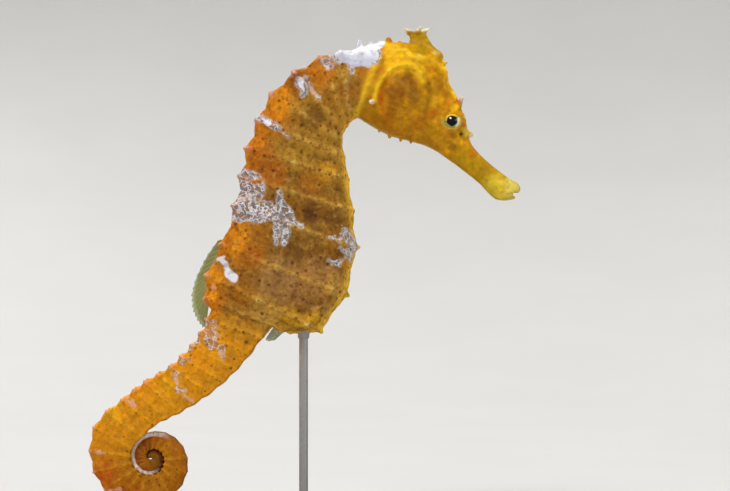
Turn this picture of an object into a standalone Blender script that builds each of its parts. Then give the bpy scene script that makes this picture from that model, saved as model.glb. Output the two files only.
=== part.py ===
"""A longsnout seahorse at life size, upright with its tail coiled, on a plain display stand.

The frame: +X is the way the snout points, +Y the animal's left, +Z up. The origin is on the
surface that the stand rests on. Sizes below are in millimetres, and MM turns them into metres.

The body is one tube along the body coordinate s, which counts the bony rings: s runs from the
snout's tip (negative) through the collar behind the head (0) and the eleven trunk rings to the
tail's tip. A rib at s is a slice through the tube, from the back line to the belly line.
"""

import math

import bpy
import numpy as np

MM = 0.001

# Clearances
CUT_GAP = 0.3
ROD_CLEARANCE = 0.15

# Ribs of the body: s, back x and z, belly x and z, half width, squareness of the slice
STATIONS = (
    (-10.0, 38.3, 63.9, 37.1, 62.2, 0.9, 2.0),  # mouth
    (-9.5, 37.7, 64.7, 35.8, 61.5, 1.5, 2.0),  # lips
    (-9.0, 36.3, 65.4, 33.6, 61.8, 1.75, 2.0),  # flared end of the snout
    (-8.0, 34.0, 67.1, 31.0, 64.4, 1.5, 2.0),  # narrowest part of the snout
    (-6.5, 30.8, 69.9, 27.5, 67.2, 1.6, 2.0),
    (-5.5, 29.2, 72.2, 25.3, 68.8, 2.0, 2.1),  # root of the snout
    (-4.5, 28.5, 75.3, 23.0, 70.4, 2.5, 2.2),  # eyes
    (-3.5, 27.2, 79.0, 20.6, 71.5, 3.0, 2.2),
    (-2.5, 25.4, 82.6, 17.3, 72.4, 3.9, 2.2),  # forehead
    (-1.6, 24.6, 85.6, 14.9, 73.1, 4.6, 2.2),  # gill covers
    (-0.8, 20.4, 89.2, 12.2, 74.4, 4.8, 2.2),  # crown
    (0.0, 14.6, 89.9, 9.3, 76.2, 4.5, 2.2),  # collar
    (1.0, 9.7, 89.2, 8.5, 76.2, 3.9, 2.3),  # neck
    (3.0, 2.2, 86.9, 7.2, 75.0, 3.8, 2.4),
    (5.0, -6.1, 80.1, 6.2, 72.2, 4.2, 2.5),  # chest
    (7.0, -10.4, 70.5, 7.1, 65.2, 4.9, 2.5),
    (9.0, -12.6, 60.3, 8.4, 53.1, 5.5, 2.5),  # deepest ring of the trunk
    (10.0, -15.0, 53.3, 6.6, 44.7, 5.5, 2.5),
    (11.0, -17.5, 47.9, 2.0, 38.4, 5.1, 2.5),
    (12.0, -17.8, 43.8, -3.2, 37.8, 4.4, 2.6),  # last trunk ring
    (12.5, -17.2, 41.9, -5.9, 38.9, 4.1, 2.8),
    (13.0, -17.6, 40.0, -8.0, 36.9, 3.8, 3.0),  # root of the tail
    (15.0, -20.6, 35.3, -12.9, 31.2, 3.4, 3.4),
    (17.0, -24.5, 31.5, -17.6, 27.0, 3.1, 3.6),
    (19.0, -28.9, 28.7, -23.0, 23.6, 2.9, 3.6),
    (21.0, -33.1, 25.6, -27.6, 21.2, 2.7, 3.6),
)

# Coil of the tail: a logarithmic spiral that its whorls fill
COIL_START = 23.0
COIL_CENTRE = (-28.1, 15.0)
COIL_RADIUS = 11.4
COIL_START_ANGLE = math.radians(150.0)
COIL_TURN_PER_RING = math.radians(21.0)
COIL_TIGHTENING = 0.16
COIL_WHORL_GAP = 0.036
COIL_CORE = (41.0, 50.0)
COIL_CORE_SHARE = 0.3
COIL_HALF_WIDTH = (0.36, 0.44)
COIL_SQUARENESS = (3.6, 2.2)
TAIL_TIP = 58.0
TAIL_TIP_TAPER = 5.0
TAIL_TIP_SHARE = 0.35

# Ridges along the body: angle from the back, height in the trunk and in the tail, first ring
RIDGES = (
    (43.0, 0.60, 0.45, 0.5),  # upper
    (88.0, 0.35, 0.00, 1.0),  # side
    (137.0, 0.35, 0.30, 4.0),  # lower
    (180.0, 0.30, 0.00, 5.0),  # keel of the belly
)
FLAT_BACK = (0.5, 4.0)
FLAT_BELLY = (12.0, 14.0)
FLAT_COIL_FADE = (26.0, 44.0)
RIDGE_BETWEEN_RINGS = 0.3
RIDGE_FADE_IN_RINGS = 2.0
FACET_HOLLOW = 0.15
FACET_HOLLOW_FULL_AT = 15.0
RING_GROOVE = 0.5
GROOVE_DEPTH_FULL_AT = 20.0
RINGS_BEGIN = 0.5
TAIL_RIDGES = (11.5, 13.5)
BELLY_SPINES = (8.5, 11.5)
BELLY_SPINE_HEIGHT = 0.40
COIL_RIDGE_FADE = (23.0, 35.0)
COIL_RIDGE_LOSS = 0.9

# Lengths that the body is parted into, cut in the grooves between rings
HEAD_LENGTH = (-6.0, 0.0)
BODY_LENGTHS = (
    ("snout", -10.0, -6.0),
    ("neck", 0.0, 4.5),
    ("trunk_upper", 4.5, 7.5),
    ("trunk_middle", 7.5, 10.5),
    ("trunk_lower", 10.5, 12.5),
    ("tail_root", 12.5, 17.5),
    ("tail_middle", 17.5, 23.5),
    ("tail_coil_outer", 23.5, 30.5),
    ("tail_coil_middle", 30.5, 37.5),
    ("tail_coil_inner", 37.5, 45.5),
    ("tail_tip", 45.5, TAIL_TIP),
)

# Head
EYE_CENTRE = (25.8, 2.15, 75.7)
EYE_RADII = (1.75, 1.3, 1.75)
GILL_COVER_CENTRE = (16.9, 80.0)
GILL_COVER_RADII = (3.9, 5.0)
GILL_COVER_LEAN = math.radians(12.0)
GILL_COVER_INNER_Y = 3.0
BESIDE_HEAD_Y = 9.0
HEAD_SPINES = (
    # root x, y, z, tip x, y, z, root radius
    (26.0, 1.3, 78.6, 27.7, 2.1, 80.2, 0.8),  # above the eye
    (27.8, 0.0, 73.6, 30.0, 0.0, 73.4, 0.75),  # nose
    (23.6, 0.9, 85.0, 24.9, 1.2, 86.3, 0.8),  # brow
    (15.0, 0.8, 88.4, 15.2, 0.9, 90.7, 0.9),  # nape
    (18.4, 2.2, 73.6, 18.8, 3.3, 71.6, 0.7),  # cheek
    (13.6, 1.2, 75.2, 13.4, 1.6, 73.6, 0.7),  # throat
)
SPINE_TIP_SHARE = 0.25
SPINE_ROOT_SHARE = 0.3
SPINE_SIDES = 6

# Coronet: height above the surface, centre x, half length, half width, depth of the star
CORONET_LEVELS = (
    (85.5, 20.6, 3.2, 2.2, 0.0),
    (88.6, 20.4, 2.9, 1.9, 0.0),
    (90.2, 20.1, 1.8, 1.4, 0.05),
    (91.2, 19.8, 1.5, 1.3, 0.10),
    (91.8, 19.4, 1.6, 1.6, 0.25),
    (92.3, 19.2, 1.8, 1.9, 0.35),
)
CORONET_POINTS = 5
CORONET_DISH = 0.9

# Fins
FIN_THICKNESS = 0.5
FIN_ROOT_DEPTH = 1.2
DORSAL_FIN_SPAN = (9.8, 12.1)
DORSAL_FIN_ANGLES = (190.0, 262.0)
DORSAL_FIN_LENGTHS = (1.6, 4.8, 4.9)
DORSAL_FIN_RAYS = 17
ANAL_FIN_SPAN = (12.15, 12.55)
ANAL_FIN_ANGLES = (222.0, 236.0)
ANAL_FIN_LENGTHS = (2.6, 3.4, 2.8)
ANAL_FIN_RAYS = 4
PECTORAL_ROOT = (10.8, 3.4, 80.6)
PECTORAL_ROOT_HEIGHT = 3.0
PECTORAL_ANGLES = (150.0, 214.0)
PECTORAL_LENGTHS = (3.9, 4.8, 3.9)
PECTORAL_RAYS = 9
PECTORAL_SPREAD = math.radians(24.0)

# Stand
BASE_LENGTH = 78.0
BASE_WIDTH = 34.0
BASE_THICKNESS = 4.0
BASE_CORNER_RADIUS = 9.0
BASE_CORNER_SEGMENTS = 8
BASE_EDGE_BEVEL = 0.8
ROD_RADIUS = 0.8
ROD_SIDES = 24
ROD_IN_BASE = 2.5
RODS = (
    # name, x, height of the body's underside there, depth of the socket in the body
    ("stand_rod_body", -0.8, 37.9, 2.4),
    ("stand_rod_tail", -28.1, 6.9, 1.8),
)

# Colours and finishes: base colour, roughness, metallic
FINISHES = {
    "snout": ((0.68, 0.46, 0.03), 0.45, 0.0),
    "head": ((0.72, 0.36, 0.02), 0.45, 0.0),
    "gill_cover": ((0.50, 0.18, 0.01), 0.45, 0.0),
    "coronet": ((0.58, 0.42, 0.02), 0.45, 0.0),
    "eye": ((0.02, 0.02, 0.015), 0.1, 0.0),
    "neck": ((0.62, 0.27, 0.03), 0.5, 0.0),
    "trunk": ((0.50, 0.24, 0.05), 0.5, 0.0),
    "tail": ((0.56, 0.24, 0.02), 0.5, 0.0),
    "fin": ((0.30, 0.36, 0.06), 0.4, 0.0),
    "walnut": ((0.10, 0.045, 0.02), 0.4, 0.0),
    "steel": ((0.62, 0.62, 0.60), 0.3, 1.0),
}


def clear_scene():
    for obj in list(bpy.data.objects):
        bpy.data.objects.remove(obj, do_unlink=True)


def new_material(name, finish):
    colour, roughness, metallic = FINISHES[finish]
    material = bpy.data.materials.new(name)
    material.use_nodes = True
    shader = material.node_tree.nodes["Principled BSDF"]
    shader.inputs["Base Color"].default_value = (*colour, 1.0)
    shader.inputs["Roughness"].default_value = roughness
    shader.inputs["Metallic"].default_value = metallic
    return material


def add_solid(name, points, faces, finish=None):
    """A mesh object from points in millimetres. With no finish it is a hidden cutter."""
    mesh = bpy.data.meshes.new(name)
    mesh.from_pydata([tuple(c * MM for c in point) for point in points], [], faces)
    mesh.update()
    obj = bpy.data.objects.new(name, mesh)
    bpy.context.scene.collection.objects.link(obj)
    if finish is None:
        obj.hide_render = True
        obj.display_type = "WIRE"
    else:
        mesh.materials.append(new_material(name, finish))
    return obj


def boolean(obj, tool, operation):
    modifier = obj.modifiers.new(operation.title() + " " + tool.name, "BOOLEAN")
    modifier.operation = operation
    modifier.object = tool
    modifier.solver = "EXACT"


def blend(start, end, share):
    return start + (end - start) * share


def clamped(value, low=0.0, high=1.0):
    return min(max(value, low), high)


def ramp(s, span):
    """0 before the span of s, 1 after it, and even in between."""
    return clamped((s - span[0]) / (span[1] - span[0]))


# The body


def coil_rib(s):
    """Back point, belly point, half width and squareness of a rib in the coil."""
    turned = (s - COIL_START) * COIL_TURN_PER_RING
    angle = COIL_START_ANGLE + turned
    outer = COIL_RADIUS * math.exp(-COIL_TIGHTENING * turned)
    core = blend(1.0, COIL_CORE_SHARE, ramp(s, COIL_CORE))
    inner = outer * core * (math.exp(-COIL_TIGHTENING * math.tau) + COIL_WHORL_GAP)
    along = clamped((s - COIL_START) / (TAIL_TIP - COIL_START))
    half_width = (outer - inner) * blend(*COIL_HALF_WIDTH, along)
    tip = clamped((TAIL_TIP - s) / TAIL_TIP_TAPER)
    size = blend(TAIL_TIP_SHARE, 1.0, math.sqrt(1.0 - (1.0 - tip) ** 2))
    middle = 0.5 * (outer + inner)
    outer = blend(middle, outer, size)
    inner = blend(middle, inner, size)
    direction = np.array((math.cos(angle), math.sin(angle)))
    back = np.array(COIL_CENTRE) + direction * outer
    belly = np.array(COIL_CENTRE) + direction * inner
    return back, belly, half_width * size, blend(*COIL_SQUARENESS, along)


def station_table():
    """The stations with two ribs of the coil after them, so that the curve runs on smoothly."""
    rows = [list(row) for row in STATIONS]
    for s in (COIL_START, COIL_START + 2.0):
        back, belly, half_width, squareness = coil_rib(s)
        rows.append([s, *back, *belly, half_width, squareness])
    return np.array(rows)


TABLE = station_table()


def slope_at(index):
    before = max(index - 1, 0)
    after = min(index + 1, len(TABLE) - 1)
    return (TABLE[after, 1:] - TABLE[before, 1:]) / (TABLE[after, 0] - TABLE[before, 0])


def rib(s):
    """Back point, belly point, half width and squareness of the rib at s."""
    if s >= COIL_START:
        return coil_rib(s)
    index = int(np.clip(np.searchsorted(TABLE[:, 0], s, "right") - 1, 0, len(TABLE) - 2))
    start = TABLE[index, 0]
    step = TABLE[index + 1, 0] - start
    t = (s - start) / step
    values = (
        TABLE[index, 1:] * (2 * t**3 - 3 * t**2 + 1)
        + TABLE[index + 1, 1:] * (3 * t**2 - 2 * t**3)
        + slope_at(index) * step * (t**3 - 2 * t**2 + t)
        + slope_at(index + 1) * step * (t**3 - t**2)
    )
    return values[0:2], values[2:4], values[4], values[5]


def ridge_height(s, ridge):
    """Height of a ridge at s: in the trunk, fading into its height in the tail."""
    _, trunk_height, tail_height, first_ring = RIDGES[ridge]
    height = blend(trunk_height, tail_height, ramp(s, TAIL_RIDGES))
    height *= clamped((s - first_ring) / RIDGE_FADE_IN_RINGS)
    height *= 1.0 - COIL_RIDGE_LOSS * ramp(s, COIL_RIDGE_FADE)
    if ridge == len(RIDGES) - 1 and BELLY_SPINES[0] < s < BELLY_SPINES[1]:
        height += BELLY_SPINE_HEIGHT
    return height


def slice_angles():
    """Angles round a slice, from the back over the left side, with a point on every ridge."""
    marks = [0.0] + [ridge[0] for ridge in RIDGES]
    half = []
    for low, high in zip(marks, marks[1:]):
        half += [low, 0.5 * (low + high)]
    return half + [180.0] + [360.0 - angle for angle in reversed(half[1:])]


def ridge_at(angle):
    """Index of the ridge at this angle on either side, or None between ridges."""
    folded = min(angle, 360.0 - angle)
    for index, ridge in enumerate(RIDGES):
        if abs(folded - ridge[0]) < 0.01:
            return index
    return None


def height_on_slice(s, turn, power):
    """Height from -1 at the belly to 1 at the back, level between ridges where the body is flat."""
    cosine = math.cos(turn)
    height = abs(cosine) ** power
    corner = abs(math.cos(math.radians(RIDGES[0][0]))) ** power
    level = ramp(s, FLAT_BACK) if cosine > 0.0 else ramp(s, FLAT_BELLY)
    level *= 1.0 - ramp(s, FLAT_COIL_FADE)
    height = blend(height, min(height / corner, 1.0), level)
    return math.copysign(height, cosine)


def slice_point(s, angle, grow=0.0, shift=0.0):
    """A point of the rib at s. grow moves it outwards, shift moves it along the body."""
    back, belly, half_width, squareness = rib(s)
    depth = np.linalg.norm(back - belly)
    up = (back - belly) / depth
    along = np.array((-up[1], up[0]))
    on_ring = math.cos(math.pi * (s - round(s)))
    groove = RING_GROOVE * clamped(s - RINGS_BEGIN) * depth / GROOVE_DEPTH_FULL_AT
    height = grow - 0.5 * groove * (1.0 - on_ring)
    ridge = ridge_at(angle)
    if ridge is not None:
        height += ridge_height(s, ridge) * blend(RIDGE_BETWEEN_RINGS, 1.0, on_ring)
    elif s > RINGS_BEGIN:
        height -= FACET_HOLLOW * clamped(depth / FACET_HOLLOW_FULL_AT)
    turn = math.radians(angle)
    power = 2.0 / squareness
    sideways = math.copysign(abs(math.sin(turn)) ** power, math.sin(turn))
    upwards = height_on_slice(s, turn, power)
    y = half_width * sideways + height * math.sin(turn)
    rise = 0.5 * depth * upwards + height * math.cos(turn)
    x, z = 0.5 * (back + belly) + up * rise + along * shift
    return x, y, z


def body_length(name, start, end, finish=None, grow=0.0, steps_per_ring=2):
    """A closed length of the body between two ribs, each end drawn in by half the cut gap."""
    count = round((end - start) * steps_per_ring)
    angles = slice_angles()
    sides = len(angles)
    points = []
    for index in range(count + 1):
        s = blend(start, end, index / count)
        shift = 0.0
        if index == 0:
            shift = 0.5 * CUT_GAP
        if index == count:
            shift = -0.5 * CUT_GAP
        points += [slice_point(s, angle, grow, shift) for angle in angles]
    faces = [tuple(reversed(range(sides))), tuple(range(count * sides, (count + 1) * sides))]
    for index in range(count):
        for side in range(sides):
            a = index * sides + side
            b = index * sides + (side + 1) % sides
            faces.append((a, b, b + sides, a + sides))
    return add_solid(name, points, faces, finish)


# The head


def ellipsoid(name, centre, radii, finish=None, rings=10, sides=16):
    """A closed ball with its poles along Y."""
    points = [(centre[0], centre[1] + radii[1], centre[2])]
    for ring in range(1, rings):
        polar = math.pi * ring / rings
        for side in range(sides):
            turn = math.tau * side / sides
            x = centre[0] + radii[0] * math.sin(polar) * math.cos(turn)
            y = centre[1] + radii[1] * math.cos(polar)
            z = centre[2] + radii[2] * math.sin(polar) * math.sin(turn)
            points.append((x, y, z))
    points.append((centre[0], centre[1] - radii[1], centre[2]))
    last = len(points) - 1
    faces = []
    for side in range(sides):
        after = (side + 1) % sides
        faces.append((0, 1 + after, 1 + side))
        for ring in range(rings - 2):
            a = 1 + ring * sides
            faces.append((a + side, a + after, a + sides + after, a + sides + side))
        low = 1 + (rings - 2) * sides
        faces.append((last, low + side, low + after))
    return add_solid(name, points, faces, finish)


def prism(name, outline, y_start, y_end, finish=None):
    """A closed block with the outline (x, z) from y_start to the larger y_end."""
    count = len(outline)
    points = [(x, y_start, z) for x, z in outline] + [(x, y_end, z) for x, z in outline]
    faces = [tuple(range(count)), tuple(reversed(range(count, 2 * count)))]
    for index in range(count):
        after = (index + 1) % count
        faces.append((after, index, index + count, after + count))
    area = sum(
        outline[i - 1][0] * outline[i][1] - outline[i][0] * outline[i - 1][1] for i in range(count)
    )
    if area < 0.0:
        faces = [tuple(reversed(face)) for face in faces]
    return add_solid(name, points, faces, finish)


def oval(centre, radii, lean, sides=24):
    """An oval outline in X and Z, leaning forwards by an angle."""
    outline = []
    for side in range(sides):
        turn = math.tau * side / sides
        x = radii[0] * math.cos(turn)
        z = radii[1] * math.sin(turn)
        leaned_x = x * math.cos(lean) + z * math.sin(lean)
        leaned_z = z * math.cos(lean) - x * math.sin(lean)
        outline.append((centre[0] + leaned_x, centre[1] + leaned_z))
    return outline


def spine(name, root, tip, radius):
    """A blunt closed cone from root to tip, used to add a spine to the head."""
    root = np.array(root)
    axis = np.array(tip) - root
    side = np.cross(axis, (0.3, 1.0, 0.2))
    side /= np.linalg.norm(side)
    other = np.cross(axis, side) / np.linalg.norm(axis)
    points = []
    buried = root - SPINE_ROOT_SHARE * axis
    for centre, size in ((buried, radius), (root + axis, radius * SPINE_TIP_SHARE)):
        for index in range(SPINE_SIDES):
            turn = math.tau * index / SPINE_SIDES
            points.append(centre + size * (side * math.cos(turn) + other * math.sin(turn)))
    faces = [tuple(reversed(range(SPINE_SIDES))), tuple(range(SPINE_SIDES, 2 * SPINE_SIDES))]
    for index in range(SPINE_SIDES):
        after = (index + 1) % SPINE_SIDES
        faces.append((index, after, after + SPINE_SIDES, index + SPINE_SIDES))
    return add_solid(name, points, faces)


def mirrored(point, side):
    return (point[0], point[1] * side, point[2])


def make_head():
    """The head with its spines, parted from the gill covers and hollowed for the eyes."""
    spines = []
    for number, (x, y, z, tip_x, tip_y, tip_z, radius) in enumerate(HEAD_SPINES):
        for side in (1, -1) if y else (1,):
            root = mirrored((x, y, z), side)
            tip = mirrored((tip_x, tip_y, tip_z), side)
            spines.append(spine(f"head_spine_{number}_{side}", root, tip, radius))
    head = body_length("head", *HEAD_LENGTH, "head", steps_per_ring=3)
    for tool in spines:
        boolean(head, tool, "UNION")
    for side, label in ((1, "left"), (-1, "right")):
        cover = body_length(
            f"gill_cover_{label}", *HEAD_LENGTH, "gill_cover", steps_per_ring=3
        )
        outer_y = sorted((side * GILL_COVER_INNER_Y, side * BESIDE_HEAD_Y))
        outline = oval(GILL_COVER_CENTRE, GILL_COVER_RADII, GILL_COVER_LEAN)
        boolean(cover, prism(f"gill_cover_shape_{label}", outline, *outer_y), "INTERSECT")
        wider = [radius + CUT_GAP for radius in GILL_COVER_RADII]
        outer_y = sorted((side * (GILL_COVER_INNER_Y - CUT_GAP), side * BESIDE_HEAD_Y))
        outline = oval(GILL_COVER_CENTRE, wider, GILL_COVER_LEAN)
        boolean(head, prism(f"gill_cover_seat_{label}", outline, *outer_y), "DIFFERENCE")
        centre = mirrored(EYE_CENTRE, side)
        ellipsoid(f"eye_{label}", centre, EYE_RADII, "eye")
        socket_radii = [radius + CUT_GAP for radius in EYE_RADII]
        socket = ellipsoid(f"eye_socket_{label}", centre, socket_radii)
        boolean(head, socket, "DIFFERENCE")
    return head


def make_coronet():
    """A column with a star of blunt points, dished on top, cut to sit on the crown."""
    sides = CORONET_POINTS * 4
    points = []
    for height, centre_x, half_length, half_width, star in CORONET_LEVELS:
        for side in range(sides):
            turn = math.tau * side / sides
            reach = 1.0 + star * 0.5 * (1.0 + math.cos(CORONET_POINTS * turn)) - 0.5 * star
            x = centre_x + half_length * reach * math.cos(turn)
            y = half_width * reach * math.sin(turn)
            points.append((x, y, height + star * math.cos(CORONET_POINTS * turn)))
    top = len(CORONET_LEVELS) - 1
    height, centre_x, _, _, _ = CORONET_LEVELS[top]
    points.append((centre_x, 0.0, height - CORONET_DISH))
    faces = [tuple(reversed(range(sides)))]
    for side in range(sides):
        after = (side + 1) % sides
        for level in range(top):
            a = level * sides
            faces.append((a + side, a + after, a + sides + after, a + sides + side))
        faces.append((top * sides + side, top * sides + after, len(points) - 1))
    coronet = add_solid("coronet", points, faces, "coronet")
    crown = body_length("coronet_seat", *HEAD_LENGTH, grow=CUT_GAP, steps_per_ring=3)
    boolean(coronet, crown, "DIFFERENCE")


# The fins


def fan(name, roots, angles, lengths, finish):
    """A thin upright plate: each ray runs from its root (x, z) at its own angle and length."""
    count = len(roots)
    inner = []
    outer = []
    for index, (x, z) in enumerate(roots):
        share = index / (count - 1)
        turn = math.radians(blend(*angles, share))
        start, middle, end = lengths
        length = blend(start, end, share) + (middle - 0.5 * (start + end)) * 4 * share * (1 - share)
        direction = (math.cos(turn), math.sin(turn))
        inner.append((x - direction[0] * FIN_ROOT_DEPTH, z - direction[1] * FIN_ROOT_DEPTH))
        outer.append((x + direction[0] * length, z + direction[1] * length))
    outline = outer + list(reversed(inner))
    return prism(name, outline, -0.5 * FIN_THICKNESS, 0.5 * FIN_THICKNESS, finish)


def make_median_fin(name, span, on_back, angles, lengths, rays, seat):
    """A fin on the back or the belly line, cut to meet the length of body it grows from."""
    roots = []
    for index in range(rays):
        back, belly, _, _ = rib(blend(*span, index / (rays - 1)))
        roots.append(tuple(back if on_back else belly))
    fin = fan(name, roots, angles, lengths, "fin")
    boolean(fin, seat, "DIFFERENCE")


def make_pectoral_fin(label, side, seat):
    """A small fan behind the gill cover, folded back and held out from the neck."""
    root_x, root_y, root_z = PECTORAL_ROOT
    roots = []
    for index in range(PECTORAL_RAYS):
        rise = PECTORAL_ROOT_HEIGHT * (0.5 - index / (PECTORAL_RAYS - 1))
        roots.append((0.0, rise))
    fin = fan(f"pectoral_fin_{label}", roots, PECTORAL_ANGLES, PECTORAL_LENGTHS, "fin")
    fin.location = (root_x * MM, side * root_y * MM, root_z * MM)
    fin.rotation_euler = (0.0, 0.0, -side * PECTORAL_SPREAD)
    boolean(fin, seat, "DIFFERENCE")


def make_fins():
    seat = body_length("fin_seat", -1.5, 14.5, grow=CUT_GAP)
    make_median_fin(
        "dorsal_fin",
        DORSAL_FIN_SPAN,
        True,
        DORSAL_FIN_ANGLES,
        DORSAL_FIN_LENGTHS,
        DORSAL_FIN_RAYS,
        seat,
    )
    make_median_fin(
        "anal_fin",
        ANAL_FIN_SPAN,
        False,
        ANAL_FIN_ANGLES,
        ANAL_FIN_LENGTHS,
        ANAL_FIN_RAYS,
        seat,
    )
    for side, label in ((1, "left"), (-1, "right")):
        make_pectoral_fin(label, side, seat)


# The stand


def cylinder(name, x, z_start, z_end, radius, finish=None):
    """A closed upright cylinder on the plane y = 0."""
    points = []
    for z in (z_start, z_end):
        for index in range(ROD_SIDES):
            turn = math.tau * index / ROD_SIDES
            points.append((x + radius * math.cos(turn), radius * math.sin(turn), z))
    faces = [tuple(reversed(range(ROD_SIDES))), tuple(range(ROD_SIDES, 2 * ROD_SIDES))]
    for index in range(ROD_SIDES):
        after = (index + 1) % ROD_SIDES
        faces.append((index, after, after + ROD_SIDES, index + ROD_SIDES))
    return add_solid(name, points, faces, finish)


def make_base():
    """A flat slab with round corners and an eased upper edge."""
    corners = []
    for quarter in range(4):
        side_x = 1 if quarter in (0, 3) else -1
        side_y = 1 if quarter in (0, 1) else -1
        centre_x = side_x * (0.5 * BASE_LENGTH - BASE_CORNER_RADIUS)
        centre_y = side_y * (0.5 * BASE_WIDTH - BASE_CORNER_RADIUS)
        for index in range(BASE_CORNER_SEGMENTS + 1):
            turn = 0.5 * math.pi * (quarter + index / BASE_CORNER_SEGMENTS)
            corners.append((centre_x, centre_y, math.cos(turn), math.sin(turn)))
    levels = (
        (0.0, 0.0),
        (BASE_THICKNESS - BASE_EDGE_BEVEL, 0.0),
        (BASE_THICKNESS - 0.3 * BASE_EDGE_BEVEL, 0.3 * BASE_EDGE_BEVEL),
        (BASE_THICKNESS, BASE_EDGE_BEVEL),
    )
    points = []
    for height, inset in levels:
        reach = BASE_CORNER_RADIUS - inset
        points += [(x + reach * cx, y + reach * cy, height) for x, y, cx, cy in corners]
    count = len(corners)
    top = len(levels) - 1
    faces = [tuple(reversed(range(count))), tuple(range(top * count, (top + 1) * count))]
    for level in range(top):
        for index in range(count):
            a = level * count + index
            b = level * count + (index + 1) % count
            faces.append((a, b, b + count, a + count))
    return add_solid("stand_base", points, faces, "walnut")


def make_stand(carried):
    """The base and its rods, each rod let into the base and into the body it carries."""
    base = make_base()
    for name, x, underside, socket_depth in RODS:
        top = underside + socket_depth
        bottom = BASE_THICKNESS - ROD_IN_BASE
        cylinder(name, x, bottom, top, ROD_RADIUS, "steel")
        room = ROD_CLEARANCE
        wide = ROD_RADIUS + room
        hole = cylinder(f"{name}_hole", x, bottom - room, BASE_THICKNESS + 1.0, wide)
        boolean(base, hole, "DIFFERENCE")
        socket = cylinder(f"{name}_socket", x, underside - 3.0, top + room, wide)
        boolean(carried[name], socket, "DIFFERENCE")


def main():
    clear_scene()
    make_head()
    lengths = {}
    for name, start, end in BODY_LENGTHS:
        finish = name.split("_")[0]
        lengths[name] = body_length(name, start, end, finish)
    make_coronet()
    make_fins()
    make_stand(
        {
            "stand_rod_body": lengths["trunk_lower"],
            "stand_rod_tail": lengths["tail_coil_outer"],
        }
    )


main()
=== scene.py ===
"""The looks of a longsnout seahorse at life size, on its display stand in a plain light studio.

Lengths are in millimetres until a mesh is made. The body coordinate s counts the bony rings:
-10 at the snout's tip, 0 at the collar, 1 to 11 in the trunk, up to 58 at the tail's tip.
A turn goes round the body in radians, from 0 on the back to pi on the belly, plus on the
animal's left (+Y) and minus on its right.
"""

import itertools
import math

import bpy
import numpy as np
from mathutils.bvhtree import BVHTree
from mathutils.kdtree import KDTree
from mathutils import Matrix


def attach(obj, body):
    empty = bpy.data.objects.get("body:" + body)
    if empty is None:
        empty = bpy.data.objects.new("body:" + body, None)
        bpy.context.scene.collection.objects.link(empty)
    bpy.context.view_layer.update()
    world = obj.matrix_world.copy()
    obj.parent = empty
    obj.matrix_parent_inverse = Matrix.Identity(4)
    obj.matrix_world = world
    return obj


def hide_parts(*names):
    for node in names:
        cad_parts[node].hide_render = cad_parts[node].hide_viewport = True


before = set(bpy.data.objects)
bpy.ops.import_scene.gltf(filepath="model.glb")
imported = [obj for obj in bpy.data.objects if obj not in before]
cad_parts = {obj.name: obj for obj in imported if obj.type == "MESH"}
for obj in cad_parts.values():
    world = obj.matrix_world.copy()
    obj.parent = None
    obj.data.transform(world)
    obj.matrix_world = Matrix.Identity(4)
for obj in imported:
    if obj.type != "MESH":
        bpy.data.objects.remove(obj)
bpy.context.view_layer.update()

MM = 0.001
RNG = np.random.default_rng(7)

# Ribs of the body: s, back x and z, belly x and z, half width, squareness of the slice
STATIONS = (
    (-10.0, 37.9, 63.9, 36.9, 62.3, 0.8, 2.0),  # mouth
    (-9.5, 37.7, 64.7, 35.8, 61.5, 1.5, 2.0),  # lips
    (-9.0, 36.3, 65.4, 33.6, 61.8, 1.75, 2.0),  # flared end of the snout
    (-8.0, 34.0, 67.1, 31.0, 64.4, 1.5, 2.0),  # narrowest part of the snout
    (-6.5, 30.8, 69.9, 27.5, 67.2, 1.6, 2.0),
    (-5.5, 29.2, 72.2, 25.3, 68.8, 2.0, 2.1),  # root of the snout
    (-4.5, 28.5, 75.3, 23.0, 70.4, 2.5, 2.2),  # eyes
    (-3.5, 27.2, 79.0, 20.6, 71.5, 3.0, 2.2),
    (-2.5, 25.4, 82.6, 17.3, 72.4, 3.9, 2.2),  # forehead
    (-1.6, 24.6, 85.6, 14.9, 73.1, 4.6, 2.2),  # gill covers
    (-0.8, 20.4, 89.2, 12.2, 74.4, 4.8, 2.2),  # crown
    (0.0, 14.6, 89.9, 9.3, 76.2, 4.5, 2.2),  # collar
    (1.0, 9.7, 89.2, 8.5, 76.2, 3.9, 2.3),  # neck
    (3.0, 2.2, 86.9, 7.2, 75.0, 3.8, 2.4),
    (5.0, -6.1, 80.1, 6.2, 72.2, 4.2, 2.5),  # chest
    (7.0, -10.4, 70.5, 7.1, 65.2, 4.9, 2.5),
    (9.0, -12.6, 60.3, 8.4, 53.1, 5.5, 2.5),  # deepest ring of the trunk
    (10.0, -15.0, 53.3, 6.6, 44.7, 5.5, 2.5),
    (11.0, -17.5, 47.9, 2.0, 38.4, 5.1, 2.5),
    (12.0, -17.8, 43.8, -3.2, 37.8, 4.4, 2.6),  # last trunk ring
    (12.5, -17.2, 41.9, -5.9, 38.9, 4.1, 2.8),
    (13.0, -17.6, 40.0, -8.0, 36.9, 3.8, 3.0),  # root of the tail
    (15.0, -20.6, 35.3, -12.9, 31.2, 3.4, 3.4),
    (17.0, -24.5, 31.5, -17.6, 27.0, 3.1, 3.6),
    (19.0, -28.9, 28.7, -23.0, 23.6, 2.9, 3.6),
    (21.0, -33.1, 25.6, -27.6, 21.2, 2.7, 3.6),
)

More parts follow.
